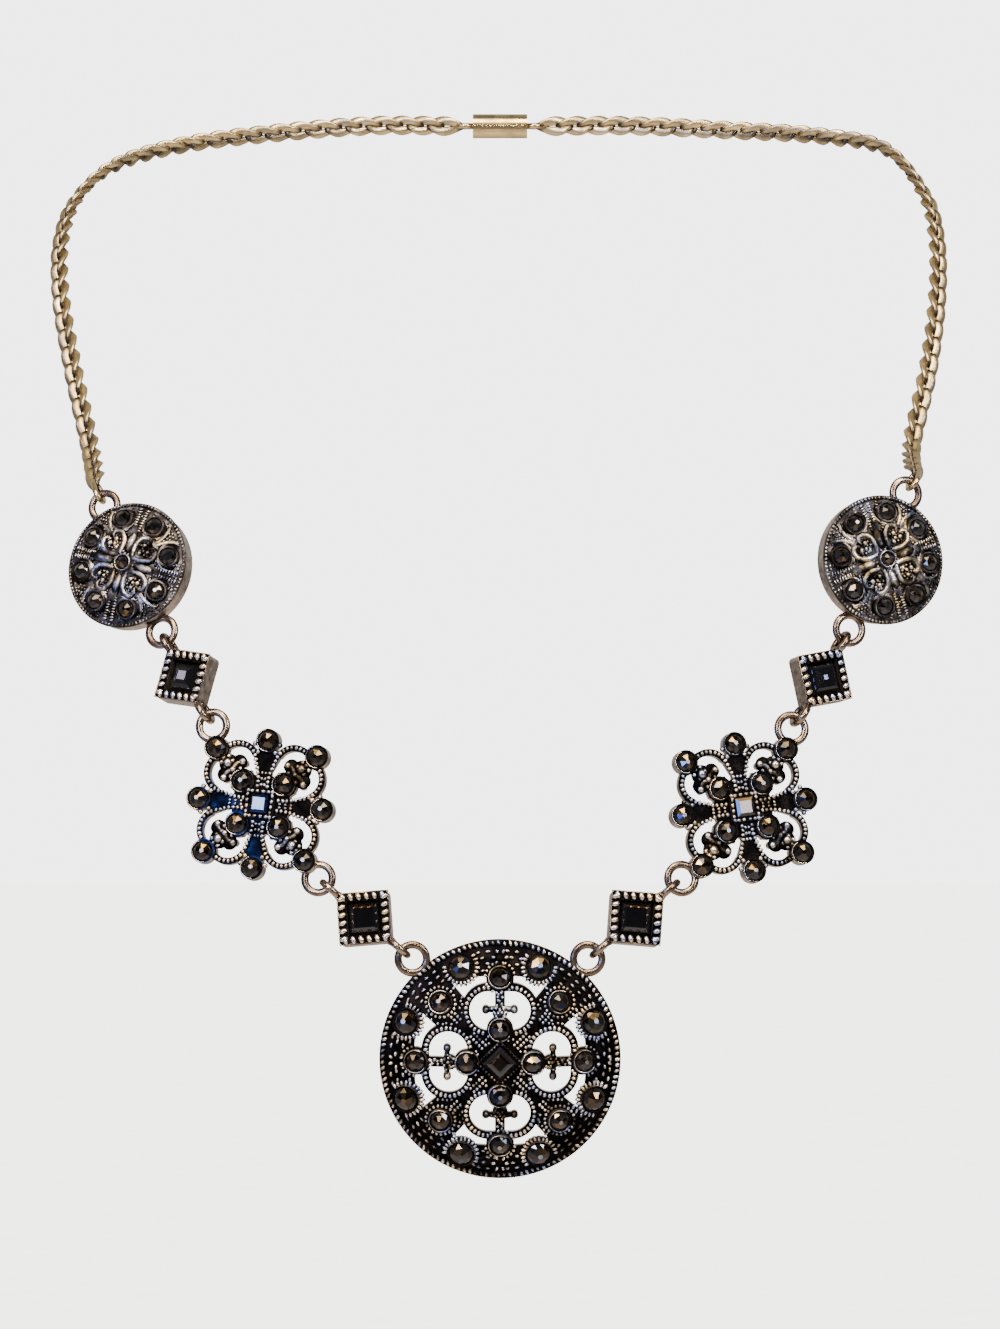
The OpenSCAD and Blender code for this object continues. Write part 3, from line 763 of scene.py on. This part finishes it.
def set_stones(name, node, casting, body, dome, stones, seed, quiet=False):
    """Round stones in their cups, each tipped its own way, with painted glints on their facets.
    Quiet ones get almost none
    """
    rng = random.Random(seed)
    # A girdle of sixteen sides, a steep row, eight broad facets and a small table
    gem = cut_stone("round stone", (
        (16, 0.5, 0.0, 0), (16, 0.5, 0.12, 0), (8, 0.36, 0.28, 0.5), (8, 0.105, ROUND_HEIGHT, 0.5),
    ))
    foot, high = 0.21, 1.3
    bm = bmesh.new()

    # Painted glints: a pale reflection on some tables, a cream glint under the top, navy
    # reflections on some lower facets
    def tones(lean, round_from_top):
        if quiet:
            return rng.choice((0.05, 0.1, 0.2, 0.15, 0.3, 0.4))
        if round_from_top is None:
            return rng.choice((0.97, 0.94, 0.42, 0.92, 0.3, 0.2, 0.98, 0.36))
        if lean > 0.65:
            return rng.uniform(0.05, 0.36)
        if abs(round_from_top) < 23:
            return rng.choice((0.74, 0.8, 0.3, 0.68, 0.42, 0.2, 0.78))
        if abs(round_from_top) < 68:
            return rng.choice((0.15, 0.25, 0.36, 0.42, 0.46))
        if round_from_top < 0:
            return rng.choice((0.1, 0.54, 0.2, 0.3, 0.15, 0.36, 0.25))
        return rng.choice((0.1, 0.2, 0.3, 0.36))

    for (at, angle), size in stones:
        seat = cup(dome, at, angle)
        tip = (
            Matrix.Rotation(rng.uniform(-0.05, 0.05), 4, "X")
            @ Matrix.Rotation(rng.uniform(-0.05, 0.05), 4, "Y") @ spin(rng.uniform(-12, 12))
        )
        first = len(bm.faces)
        stamp(bm, gem, seat @ move(0, 0, foot) @ tip @ stretch(size, size, high / ROUND_HEIGHT))
        set_painted_glints(bm, first, seat.to_3x3().col[2], tones)
    polished(name, bm, placed(casting), body, GLASS, node)


class NECKLACE_OT_round_stones(bpy.types.Operator):
    """Round faceted stones of the medallions and the flowers"""

    bl_idname = "necklace.round_stones"
    bl_label = "Round stones"

    def execute(self, context):
        stones = [(stone, 3.06) for stone in MEDALLION_SMALL]
        stones += [(stone, 3.66) for stone in MEDALLION_RIM]
        set_stones(
            "medallion_faceted_stones", "medallion_round_stones", "medallion", "drop", DOME,
            stones, 1,
        )
        for side, flower_seed in zip(SIDES, (2, 3)):
            for casting, dome, stones, seed, quiet in (
                ("flower", PLATE, [(stone, 3.06) for stone in FLOWER_STONES], flower_seed, False),
                (
                    "small_medallion", SMALL_DOME,
                    [(stone, 2.66) for stone in SMALL_STONES] + [((0, 0), 2.16)], 5, True,
                ),
            ):
                set_stones(
                    f"{casting}_faceted_stones_{side}", f"{casting}_stones_{side}",
                    f"{casting}_{side}", "strand", dome, stones, seed, quiet,
                )
        return {"FINISHED"}


class NECKLACE_OT_square_stones(bpy.types.Operator):
    """Square step-cut stones of the links, the flowers and the medallion"""

    bl_idname = "necklace.square_stones"
    bl_label = "Square stones"

    def execute(self, context):
        rows = [(
            "medallion_square_stone", "medallion", "drop", (3.65, 5.21, 1.4, 45),
            MEDALLION_STEPS, SMOKE_UPPER_SHEEN,
        )]
        for side in SIDES:
            rows.append((
                f"flower_square_stone_{side}", f"flower_{side}", "strand", (3.1, 1.36, 1.4, 0),
                FLOWER_STEPS, FLOWER_TABLE[side],
            ))
            for level, steps, tones in (
                ("lower", LOWER_STEPS, PAINTED_GOLD_GLINT), ("upper", UPPER_STEPS[side], WINDOW_DOT[side]),
            ):
                rows.append((
                    f"stone_{level}_{side}", f"square_{level}_{side}", "strand",
                    (5.0, 1.26, 2.0, 0), steps, tones,
                ))
        for node, casting, body, (wide, foot, high, turn), steps, tones in rows:
            gem = cut_stone("square stone", [(4, half * sqrt(2), up, 0.5) for half, up in steps])
            bm = bmesh.new()
            scale = stretch(wide, wide, high / SQUARE_HEIGHT)
            stamp(bm, gem, move(0, 0, foot) @ spin(turn) @ scale)
            set_painted_glints(bm, 0, Vector((0, 0, 1)), tones)
            polished(node + "_cut", bm, placed(casting), body, GLASS, node)
        return {"FINISHED"}


class NECKLACE_OT_medallion(bpy.types.Operator):
    """Beaded rim, petals, scallops, arms, fleurs and rings of the large medallion"""

    bl_idname = "necklace.medallion"
    bl_label = "Medallion beadwork"

    def execute(self, context):
        ground = Ground("medallion", DOME)
        # Dimmed and dull shapes have a duller painted highlight on top, bright ones a brighter one
        bead, dimmed, bright = bead_shape(), bead_shape(0.8), bead_shape(1.15)
        ball, dull = ball_shape(), ball_shape(0.84)
        size, rim, grain = size_mm("bead"), size_mm("rim_bead"), size_mm("grain")
        bm = bmesh.new()

        def free(x, y):
            return (
                ground.height(x, y) is not None and not_near(x, y, MEDALLION_SMALL, 1.98)
                and not_near(x, y, MEDALLION_RIM, 2.3) and not_near(x, y, PITS, 0.75)
                and ground.spaced(x, y, 0.5)
            )

        def lay(points, angle, lift):
            return [spin(angle) @ Vector((x, y, ground.dome(x, y) + lift)) for x, y in points]

        # Rim: short slanted beads side by side, like a rope
        bead_row(
            bm, bead, ground, arc(0, 0, 17.45, 0, 360, 180), 0.86, (rim * 0.8, rim * 1.35),
            z=0.82, slant=radians(24), high=0.85,
        )
        # Petals: a row of beads along the edge of each pair of round openings, nearly touching
        lobes = arc(1.7, 7.7, 3.38, -90, 90, 40) + arc(-1.7, 7.7, 3.38, 90, 270, 40)
        for path in quarters(lobes + [(1.7, 4.32)]):
            bead_row(
                bm, bright, ground, path, 0.7, (size * 1.1, size * 1.5),
                keep=lambda x, y: hypot(x, y) > 3.4 and not_near(x, y, MEDALLION_SMALL, 1.95),
            )
        # Scallops: long beads across the edge that faces the openings, inside each rim stone
        for _, angle in MEDALLION_RIM:
            bead_row(
                bm, bright, ground, turned(arc(0, 15.2, 2.42, -212, 32, 48), angle), 0.6,
                (size, size * 2.0),
                keep=lambda x, y: hypot(x, y) < 16.2 and not_near(x, y, MEDALLION_SMALL, 2.0)
                and ground.spaced(x, y, 0.42),
            )
        # Collars of beads round the outer stones, wide apart on the side of the rim
        for at, angle in MEDALLION_SMALL[4:]:
            path = turned(arc(0, at, 2.2, 0, 360, 48), angle)
            bead_row(bm, bead, ground, path, 0.66, (size * 0.95, size * 1.15), keep=free)
        # Black pits on the axes, with beads round them that stand like claws
        for path in quarters(arc(0, PITS[0][0], 0.98, 0, 360, 24)):
            bead_row(bm, bright, ground, path, 1.0, (size, size * 1.6), high=1.5)
        for at, angle in PITS:
            stamp(bm, ball, on_axis(DOME, at, angle) @ stretch(0.62, 0.62, 0.12), BLACK)
        # Diagonal arms: a row on each side of a dark pit, then beads up to the outer stone
        for x in (-0.36, 0.36):
            for inner, outer, pitch in ((8.7, 10.4, 0.62), (3.4, 5.8, 0.68)):
                for path in quarters([(x, inner), (x, outer)], 45):
                    bead_row(bm, bead, ground, path, pitch, (size, size * 1.05), keep=free)
        # Fine beads round the middle bezel
        for path in quarters([(-2.3, 2.3), (2.3, 2.3)], 45):
            bead_row(bm, dimmed, ground, path, 0.6, (0.42, 0.5), z=ground.top + 0.72, high=0.8)
        # Fleur in each petal: a waisted body, arms that end in a ball, and a beaded stem
        for angle in range(0, 360, 90):
            body = [(0, 7.0), (0, 8.4), (0, 9.6), (0, 10.9)]
            add_wire(bm, lay(body, angle, 0.0), 0.36, shine=0.6)
            for s in (-1, 1):
                for arm, lift, wire, shine in (
                    (((0.45, 6.6), (0.62, 7.1), (0.98, 7.65)), 0.05, 0.22, 0.85),
                    (((0.3, 8.3), (1.1, 8.15), (1.9, 8.0)), 0.1, 0.24, 0.8),
                ):
                    points = lay([(s * x, y) for x, y in arm], angle, lift)
                    add_wire(bm, points, wire, shine=shine)
                end = lay([(s * 2.12, 7.88)], angle, 0.12)[0]
                stamp(bm, dull, move(*end) @ stretch(0.62))
            for x, y, radius, mesh in (
                (0.28, 8.75, 0.3, ball), (-0.3, 9.3, 0.27, ball), (0.36, 9.75, 0.27, ball),
                (-0.24, 10.15, 0.27, ball), (0.3, 10.5, 0.27, ball), (0, 7.8, 0.34, dull),
            ):
                stamp(bm, mesh, move(*lay([(x, y)], angle, 0.22)[0]) @ stretch(radius))
        # Thin lips round the cups, their tops painted bright as a highlight
        lips(bm, DOME, MEDALLION_SMALL, 1.7, 0.76, 60, 330)
        # Long beads far apart on the sloping outer band, staggered from row to row
        for n, radius in enumerate((16.35, 15.5, 14.6, 13.7, 12.9)):
            start = 3.1 * (n % 2)
            bead_row(
                bm, bead, ground, arc(0, 0, radius, start, 360 + start, 180), 1.45,
                (size * 1.7, size * 0.85), keep=free, high=0.85,
            )
        grains(
            bm, bead, ground, grain, 0.66,
            lambda x, y: 2.7 < hypot(x, y) < 13.2 and not_near(x, y, DARK, 0.8),
            room=0.2, clear=0.58, seed=3, reach=17,
        )
        cast("medallion_beadwork", bm, "medallion", "drop")
        return {"FINISHED"}


class NECKLACE_OT_flowers(bpy.types.Operator):
    """Heart-shaped beaded petals, arms, fleurs and rings of the two flowers"""

    bl_idname = "necklace.flowers"
    bl_label = "Flower beadwork"

    def execute(self, context):
        for side in SIDES:
            self.flower(side)
        return {"FINISHED"}

    def flower(self, side):
        ground = Ground(f"flower_{side}", PLATE)
        # Dull balls have a duller painted highlight on top
        bead, ball, dull = bead_shape(), ball_shape(), ball_shape(0.84)
        oval = ball_shape(1.0, 20, 9)
        size = size_mm("bead")
        bm = bmesh.new()

        def clear(x, y):
            return ground.height(x, y) is not None and not_near(x, y, FLOWER_STONES, 1.95)

        # Each half of a petal: beside an arm, round the lobe and in to the outer corner stone
        half = [(0.78, 2.75), (0.8, 3.6), (0.86, 4.5), (1.1, 5.4)]
        half += arc(4.348, 6.116, 2.9, 174, 46, 30)
        for angle in range(0, 360, 90):
            for flip in (False, True):
                bead_row(
                    bm, bead, ground, turned(half, angle, flip), 0.7, (size * 1.2, size * 1.5),
                    keep=clear,
                )
        # Short bars between the two rows of each arm
        for y in (3.0, 3.9, 4.8):
            for path in quarters([(-0.26, y), (0.26, y)]):
                bead_row(bm, bead, ground, path, 0.52, (size, size))
        # Beads round the middle bezel, with a ball on each corner
        for path in quarters([(-1.3, 1.9), (1.3, 1.9)]):
            bead_row(bm, bead, ground, path, 0.87, (size * 1.45, size * 1.05), z=2.05)
        for (x, y), in quarters([(1.9, 1.9)]):
            stamp(bm, ball, move(x, y, 2.15) @ stretch(0.4))
        # Small balls where a petal meets the stone of an arm
        for s in (-1, 1):
            for pair in quarters([(s * 1.95, 9.15), (s * 1.35, 7.95)]):
                for x, y in pair:
                    stamp(bm, ball, move(x, y, 1.5) @ stretch(0.42))
        # Fleur in each petal: a dark body and crossbar with balls on its ends and on its stem
        for angle in range(45, 360, 90):
            turn = spin(angle)
            for x, y, wide, tall in (
                (0, 7.5, 1.7, 2.3), (1.55, 7.2, 1.1, 1.2), (-1.55, 7.2, 1.1, 1.2),
            ):
                stamp(bm, oval, turn @ move(x, y, 1.2) @ stretch(wide, tall, 0.55), BLACK)
            for s in (-1, 1):
                bar = ((0, 6.8, 1.6), (0.6, 7.15, 1.65), (1.15, 7.2, 1.55), (1.6, 7.0, 1.45))
                add_wire(bm, [turn @ Vector((s * x, y, z)) for x, y, z in bar], 0.4, shine=0.74)
                for x, y, z, radius, mesh in (
                    (1.9, 6.9, 1.4, 0.6, ball), (0.72, 8.0, 1.5, 0.38, dull),
                    (0.75, 8.95, 1.45, 0.4, ball), (0.95, 6.3, 1.5, 0.36, dull),
                ):
                    stamp(bm, mesh, turn @ move(s * x, y, z) @ stretch(radius))
            for y, z, radius, mesh in (
                (6.9, 1.75, 0.5, dull), (8.2, 1.85, 0.74, ball), (9.2, 1.5, 0.45, dull),
            ):
                stamp(bm, mesh, turn @ move(0, y, z) @ stretch(radius))
        lips(bm, PLATE, FLOWER_STONES, 1.66, 0.74, 110, 280, 0.06)
        cast(f"flower_beadwork_{side}", bm, f"flower_{side}", "strand")


class NECKLACE_OT_small_medallions(bpy.types.Operator):
    """Relief, fine beaded rim and rings of the two small medallions"""

    bl_idname = "necklace.small_medallions"
    bl_label = "Small medallion relief"

    def execute(self, context):
        for side in SIDES:
            self.relief(side)
        return {"FINISHED"}

    def relief(self, side):
        ground = Ground(f"small_medallion_{side}", SMALL_DOME)
        # Dimmed beads have a duller painted highlight on top
        bead, dimmed, ball = bead_shape(), bead_shape(0.86), ball_shape()
        oval, leaf = ball_shape(1.0, 20, 9), ball_shape(0.86, 16, 9)
        bm = bmesh.new()
        rim = arc(0, 0, 9.5, 0, 360, 120)
        bead_row(bm, dimmed, ground, rim, 0.58, (0.46, 0.62), z=3.15, high=0.9)

        def lay(points, angle, lift=0.1):
            return [(x, y, ground.dome(x, y) + lift) for x, y in turned(points, angle)]

        def settle(x, y, angle, radius):
            """A ball that lies on whatever is under it, a little sunk"""
            (x, y), = turned([(x, y)], angle)
            stamp(bm, ball, move(x, y, ground.height(x, y) + radius * 0.6) @ stretch(radius))

        # Black ovals under the rim stones, each with a crescent ridge on its inner side
        for at, angle in SMALL_STONES:
            seat = on_axis(SMALL_DOME, at + 0.1, angle)
            stamp(bm, oval, seat @ stretch(2.15, 1.62, 0.12), BLACK)
            crescent = [(1.14 * x, y) for x, y in arc(0, at + 0.15, 1.85, 188, 352, 18)]
            swell = [0.35 + 0.65 * sin(pi * k / 18) for k in range(19)]
            add_wire(bm, lay(crescent, angle), 0.32, flat=0.8, swell=swell, shine=0.92)
        for arm_angle in range(0, 360, 90):
            angle = arm_angle + 45
            # A heart: a broad ridge round a black pocket, open where its lobes curl in
            for s in (-1, 1):
                heart = [
                    (s * x, y) for x, y in (
                        (0.12, 1.7), (0.8, 2.2), (1.45, 2.85), (1.88, 3.6), (1.95, 4.4),
                        (1.58, 5.1), (0.98, 5.42), (0.42, 5.15), (0.32, 4.65),
                    )
                ]
                add_wire(
                    bm, lay(heart, angle, 0.3), 0.47, flat=0.75, shine=0.92,
                    swell=(0.7, 0.9, 1, 1, 1, 1, 0.9, 0.7, 0.5),
                )
                settle(s * 0.62, 4.15, angle, 0.42)
                # Struts that spread from between two stones to the rim
                strut = ((0.2, 5.7), (0.26, 6.5), (0.5, 7.4), (1.0, 8.3), (1.6, 8.8))
                add_wire(
                    bm, lay([(s * x, y) for x, y in strut], angle), 0.4, flat=0.7,
                    swell=(1.3, 1, 0.9, 0.9, 0.8), shine=0.88,
                )
            (x, y), = turned([(0, 3.8)], angle)
            pocket = move(x, y, ground.height(x, y) + 0.02)
            stamp(bm, oval, pocket @ stretch(1.42, 1.42, 0.06), BLACK)
            settle(0, 2.95, angle, 0.36)
            settle(0, 3.65, angle, 0.3)
            # Arms between the hearts: a smooth leaf with a ribbed strip on each side of it, and two
            # ribbed strips on to the rim
            (x, y), = turned([(0, 3.5)], arm_angle)
            seat = ground.seat(x, y, 0.05) @ spin(arm_angle)
            stamp(bm, leaf, seat @ stretch(0.78, 1.9, 0.5))
            for s in (-1, 1):
                for path, pitch, size, mesh in (
                    (((0.85, 1.7), (1.1, 2.8), (1.35, 4.0), (1.65, 5.4)), 0.4, (0.34, 1.05), bead),
                    (((0.42, 5.4), (0.5, 6.6), (0.62, 8.8)), 0.44, (0.36, 0.95), bead),
                    (((1.5, 6.9), (1.75, 7.9), (1.95, 8.7)), 0.44, (0.32, 0.7), dimmed),
                ):
                    ribs = turned([(s * x, y) for x, y in path], arm_angle)
                    bead_row(bm, mesh, ground, ribs, pitch, size, high=0.65)
        grains(
            bm, dimmed, ground, size_mm("grain") * 0.95, 0.56,
            lambda x, y: hypot(x, y) < 9.0 and not_near(x, y, SMALL_STONES, 2.05),
            room=0.12, clear=0.5, seed=8, reach=9,
        )
        lips(bm, SMALL_DOME, [(0, 0)], 1.24, 0.76, 0, 330)
        cast(f"small_medallion_relief_{side}", bm, f"small_medallion_{side}", "strand")


class NECKLACE_OT_squares(bpy.types.Operator):
    """Ribs round the square stones and the bright rings on their corners"""

    bl_idname = "necklace.squares"
    bl_label = "Ribbed square settings"

    def execute(self, context):
        # The ribs' tops get a brighter painted highlight than the other balls
        ball, rib = ball_shape(), ball_shape(1.3)
        loop = torus_shape(1.68, 0.55, 40, 12)
        front, half, middle = 2.98, 3.85, 1.5
        edge = [(x * half, y * half, front) for x, y in ((-1, -1), (1, -1), (1, 1), (-1, 1))]
        for level in ("lower", "upper"):
            for side in SIDES:
                bm = bmesh.new()
                for angle in range(0, 360, 90):
                    for n in range(6):
                        at = spin(angle) @ move(1.2 * n - 3.0, 3.24, front) @ spin(18)
                        stamp(bm, rib, at @ stretch(0.42, 0.68, 0.46))
                # The edge that the file left round the front
                add_wire(bm, edge, 0.12, closed=True, material=WIRE)
                first = 135 if side == "left" else 45
                for angle in (first, first + 180):
                    stamp(bm, loop, spin(angle) @ move(6.73477, 0, middle) @ spin(90, "X"), WIRE)
                    # The solder at the ring's foot
                    foot = spin(angle) @ move(5.25, 0, middle)
                    stamp(bm, ball, foot @ stretch(0.8, 0.72, 0.85), WIRE)
                name = f"square_{level}_{side}"
                polished(f"{name}_ribs", bm, placed(name), "strand", CASTING[:2])
        return {"FINISHED"}


def smooth_route(points, steps=12):
    """The same smooth curve through the points that the chain's tube follows"""
    out = []
    last = len(points) - 1
    vectors = [Vector(p) for p in points]
    for k in range(last):
        a, b, c, d = (vectors[min(max(n, 0), last)] for n in (k - 1, k, k + 1, k + 2))
        for s in range(steps):
            t = s / steps
            out.append(0.5 * (2 * b + (c - a) * t + (2 * a - 5 * b + 4 * c - d) * t * t
                              + (3 * b - a - 3 * c + d) * t ** 3))
    out.append(vectors[-1])
    return out


class NECKLACE_OT_chain(bpy.types.Operator):
    """Curb links from each small medallion round to the clasp"""

    bl_idname = "necklace.chain"
    bl_label = "Curb chain"

    def link_shape(self, pitch, width, wire, hand):
        """An oval link, twisted so that it lies flat beside the next one. hand is 1 or -1"""
        tube, twist = 0.3, 48
        # The wire is rolled flat and each link reaches into its neighbours, so that they close up
        wider, flatter, reach = 1.56, 0.84, 0.72
        link = torus_shape(1.0, tube, 24, 8)
        unshaded = link.attributes["raised"].data
        half_long = pitch / 2 + wire * reach
        half_wide = (width - wire) / 2
        for v in link.vertices:
            angle = atan2(v.co.y, v.co.x)
            out = hypot(v.co.x, v.co.y) - 1.0
            centre = Vector((half_long * cos(angle), half_wide * sin(angle), 0))
            tangent = Vector((-half_long * sin(angle), half_wide * cos(angle), 0)).normalized()
            away = Vector((tangent.y, -tangent.x, 0))
            section = away * out * wider + Vector((0, 0, v.co.z * flatter))
            flat = centre + section * (wire / 2 / tube)
            turn = hand * radians(twist) * max(-1.0, min(1.0, flat.x / half_long))
            v.co = Matrix.Rotation(turn, 3, "X") @ flat
            # The ends lie in the next links and get the painted shade there
            unshaded[v.index].value = abs(sin(angle))
        return link

    def execute(self, context):
        pitch, wire, width = (size_mm(name) for name in ("link_pitch", "link_wire", "link_width"))
        # The two halves are twisted opposite ways, so that both show their lobes to the middle
        for side, hand in zip(SIDES, (1, -1)):
            route = smooth_route(ROUTES[f"chain_{side}"])
            walked = [0.0]
            for a, b in zip(route, route[1:]):
                walked.append(walked[-1] + (b - a).length)
            # The first link hangs on the end link and the last one on the clasp's ring
            start, end = 1.25, walked[-1] - 1.15
            count = round((end - start) / pitch)
            step = (end - start) / count
            link = self.link_shape(step, width, wire, hand)
            bm = bmesh.new()
            for n in range(count + 1):
                target = start + step * n
                k = max(i for i, w in enumerate(walked[:-1]) if w <= target + 1e-9)
                t = (target - walked[k]) / (walked[k + 1] - walked[k])
                at = route[k].lerp(route[k + 1], t)
                way = (route[min(k + 2, len(route) - 1)] - route[max(k - 1, 0)]).normalized()
                # The links lie flat where they rest, face forward in front and back at the nape
                outward = Vector((0.45 * at.x, 1.2 * (at.y + 20), 0.35 * abs(at.x) + 4))
                across = outward.normalized().cross(way).normalized()
                turn = Matrix((way, across, way.cross(across))).transposed().to_4x4()
                stamp(bm, link, move(*at) @ turn)
            polished(
                f"curb_links_{side}", bm, MM, "strand",
                ("pale gold washed chain",), f"chain_{side}",
            )
        return {"FINISHED"}


class NECKLACE_OT_metal_finish(bpy.types.Operator):
    """Finishes of the castings, end links and clasp that are shown as they are"""

    bl_idname = "necklace.metal_finish"
    bl_label = "Metal finish"

    def execute(self, context):
        for name in PLACES:
            # The small medallions are wiped down to grey, the other castings left nearly black
            stops = GREYED if "small" in name else BLACKENED
            face = (placed(name).to_3x3() @ Vector((0, 0, 1))).normalized()
            self.give(name, oxidised_silver(
                f"oxidised silver {name.replace('_', ' ')}", tuple(face), stops,
                painted_blue_reflection=name == "flower_left",
            ))
        for name in ("end_link_left", "end_link_right", "clasp"):
            self.give(name, finish("pale gold washed clasp"))
        return {"FINISHED"}

    def give(self, name, material):
        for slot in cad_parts[name].material_slots:
            slot.material = material


class NECKLACE_OT_stage(bpy.types.Operator):
    """Pale floor, soft lights and the camera at the photograph's angle"""

    bl_idname = "necklace.stage"
    bl_label = "Stage"

    def execute(self, context):
        self.floor(context.scene)
        self.room(context.scene)
        self.lamps(context.scene)
        self.camera(context.scene)
        return {"FINISHED"}

    def floor(self, scene):
        half_wide, below = 9.0, -0.42
        bm = bmesh.new()
        bmesh.ops.create_grid(bm, x_segments=1, y_segments=1, size=half_wide)
        bmesh.ops.translate(bm, vec=(0, 0, below), verts=bm.verts)
        mesh = bpy.data.meshes.new("floor")
        bm.to_mesh(mesh)
        bm.free()
        floor = bpy.data.objects.new("floor", mesh)
        scene.collection.objects.link(floor)
        material, node, shader, place = start_material("matt white paint", 0.0)
        # Roller marks of 25 mm
        stops = [(0.3, "#e4e2df"), (0.7, colours().floor)]
        _, colour = clouded(node, place, 40.0, 3.0, stops)
        # The floor is lit as the backdrop is, but its light stays off the silver
        direct = node("ShaderNodeLightPath", out="Is Camera Ray")
        glow = node("ShaderNodeMath", {0: direct}, {1: 4.95}, operation="MULTIPLY")
        connect(shader, Base_Color=colour, Emission_Color=colour, Emission_Strength=glow)
        shader.inputs["Roughness"].default_value = 0.9
        mesh.materials.append(material)

    def room(self, scene):
        world = bpy.data.worlds.new("studio")
        scene.world = world
        world.use_nodes = True
        sky = world.node_tree
        sky.nodes.clear()
        node = partial(add_node, sky)
        seen = node("ShaderNodeLightPath", out="Is Camera Ray")
        # The room is dark in front of the necklace and pale behind it
        way = node("ShaderNodeTexCoord", out="Generated")
        behind = node("ShaderNodeSeparateXYZ", {0: way}, out=1)
        glow = node(
            "ShaderNodeMapRange", {0: behind},
            {"From Min": -0.2, "From Max": 0.5, "To Min": 0.05, "To Max": 0.9},
        )
        room = node("ShaderNodeBackground", {1: glow}, {0: linear("#f1efec")})
        backdrop = node("ShaderNodeBackground", values={0: linear("#fbfbfb"), 1: 4.5})
        mix = node("ShaderNodeMixShader", {0: seen, 1: room, 2: backdrop})
        node("ShaderNodeOutputWorld", {0: mix})

    def lamps(self, scene):
        """Tall strips draw an upright streak on each bead, and small lights a glint on stones"""
        middle, spread = Vector((0, -0.08, -0.1)), 110
        for name, at, wide, tall, power, colour in (
            ("left strip", (-0.34, -0.7, 0.26), 0.07, 0.4, 2.6, "#fff1e6"),
            ("right strip", (0.42, -0.6, 0.22), 0.06, 0.4, 2.1, "#f6f2ff"),
            ("overhead box", (0.0, -0.45, 0.5), 0.4, 0.36, 4.4, "#ffe9c4"),
            ("blue window", (-0.46, -0.95, 0.19), 0.12, 0.12, 0.4, "#5b86ff"),
            ("front glint", (0.1, -1.05, 0.1), 0.04, 0.04, 0.4, "#ffe6b0"),
            ("low glint", (-0.3, -0.9, -0.24), 0.08, 0.08, 0.35, "#8fb0ff"),
            ("blue side window", (-0.68, -0.73, -0.1), 0.15, 0.15, 0.9, "#6a94ff"),
            ("left window", (-0.66, -0.39, 0.32), 0.15, 0.15, 0.5, "#cdc4ff"),
            ("right window", (0.66, -0.55, 0.13), 0.15, 0.15, 0.5, "#b9c8f2"),
        ):
            light = bpy.data.lights.new(name, "AREA")
            light.shape = "RECTANGLE"
            light.size = wide
            light.size_y = tall
            light.energy = power
            light.spread = radians(spread)
            light.color = linear(colour)[:3]
            lamp = bpy.data.objects.new(name, light)
            scene.collection.objects.link(lamp)
            lamp.location = at
            aim = middle - Vector(at)
            lamp.rotation_euler = aim.to_track_quat("-Z", "Y").to_euler()

    def camera(self, scene):
        lens = bpy.data.cameras.new("camera")
        lens.sensor_fit = "HORIZONTAL"
        lens.sensor_width = 36.0
        lens.lens = 240.0
        lens.clip_start = 0.05
        camera = bpy.data.objects.new("camera", lens)
        camera.location = (0, -1.1, -0.08897)
        camera.rotation_euler = (pi / 2, 0, 0)
        scene.collection.objects.link(camera)
        scene.camera = camera


OPERATORS = (
    NECKLACE_OT_medallion,
    NECKLACE_OT_flowers,
    NECKLACE_OT_small_medallions,
    NECKLACE_OT_squares,
    NECKLACE_OT_round_stones,
    NECKLACE_OT_square_stones,
    NECKLACE_OT_chain,
    NECKLACE_OT_metal_finish,
    NECKLACE_OT_stage,
)


class NECKLACE_PT_panel(bpy.types.Panel):
    """Sizes, colours and the steps that build the necklace"""

    bl_idname = "NECKLACE_PT_panel"
    bl_label = "Medallion necklace"
    bl_space_type = "VIEW_3D"
    bl_region_type = "UI"
    bl_category = "Necklace"

    def draw(self, context):
        layout = self.layout
        for group in (context.scene.necklace_sizes, context.scene.necklace_colours):
            for name in group.bl_rna.properties.keys():
                if name not in {"rna_type", "name"}:
                    layout.prop(group, name)
        for operator in OPERATORS:
            layout.operator(operator.bl_idname)


CLASSES = (NecklaceSizes, NecklaceColours, *OPERATORS, NECKLACE_PT_panel)


def register():
    for cls in CLASSES:
        bpy.utils.register_class(cls)
    bpy.types.Scene.necklace_sizes = PointerProperty(type=NecklaceSizes)
    bpy.types.Scene.necklace_colours = PointerProperty(type=NecklaceColours)


def unregister():
    del bpy.types.Scene.necklace_colours
    del bpy.types.Scene.necklace_sizes
    for cls in reversed(CLASSES):
        bpy.utils.unregister_class(cls)


def main():
    register()
    for operator in OPERATORS:
        group, name = operator.bl_idname.split(".")
        getattr(getattr(bpy.ops, group), name)()


if __name__ == "__main__":
    main()
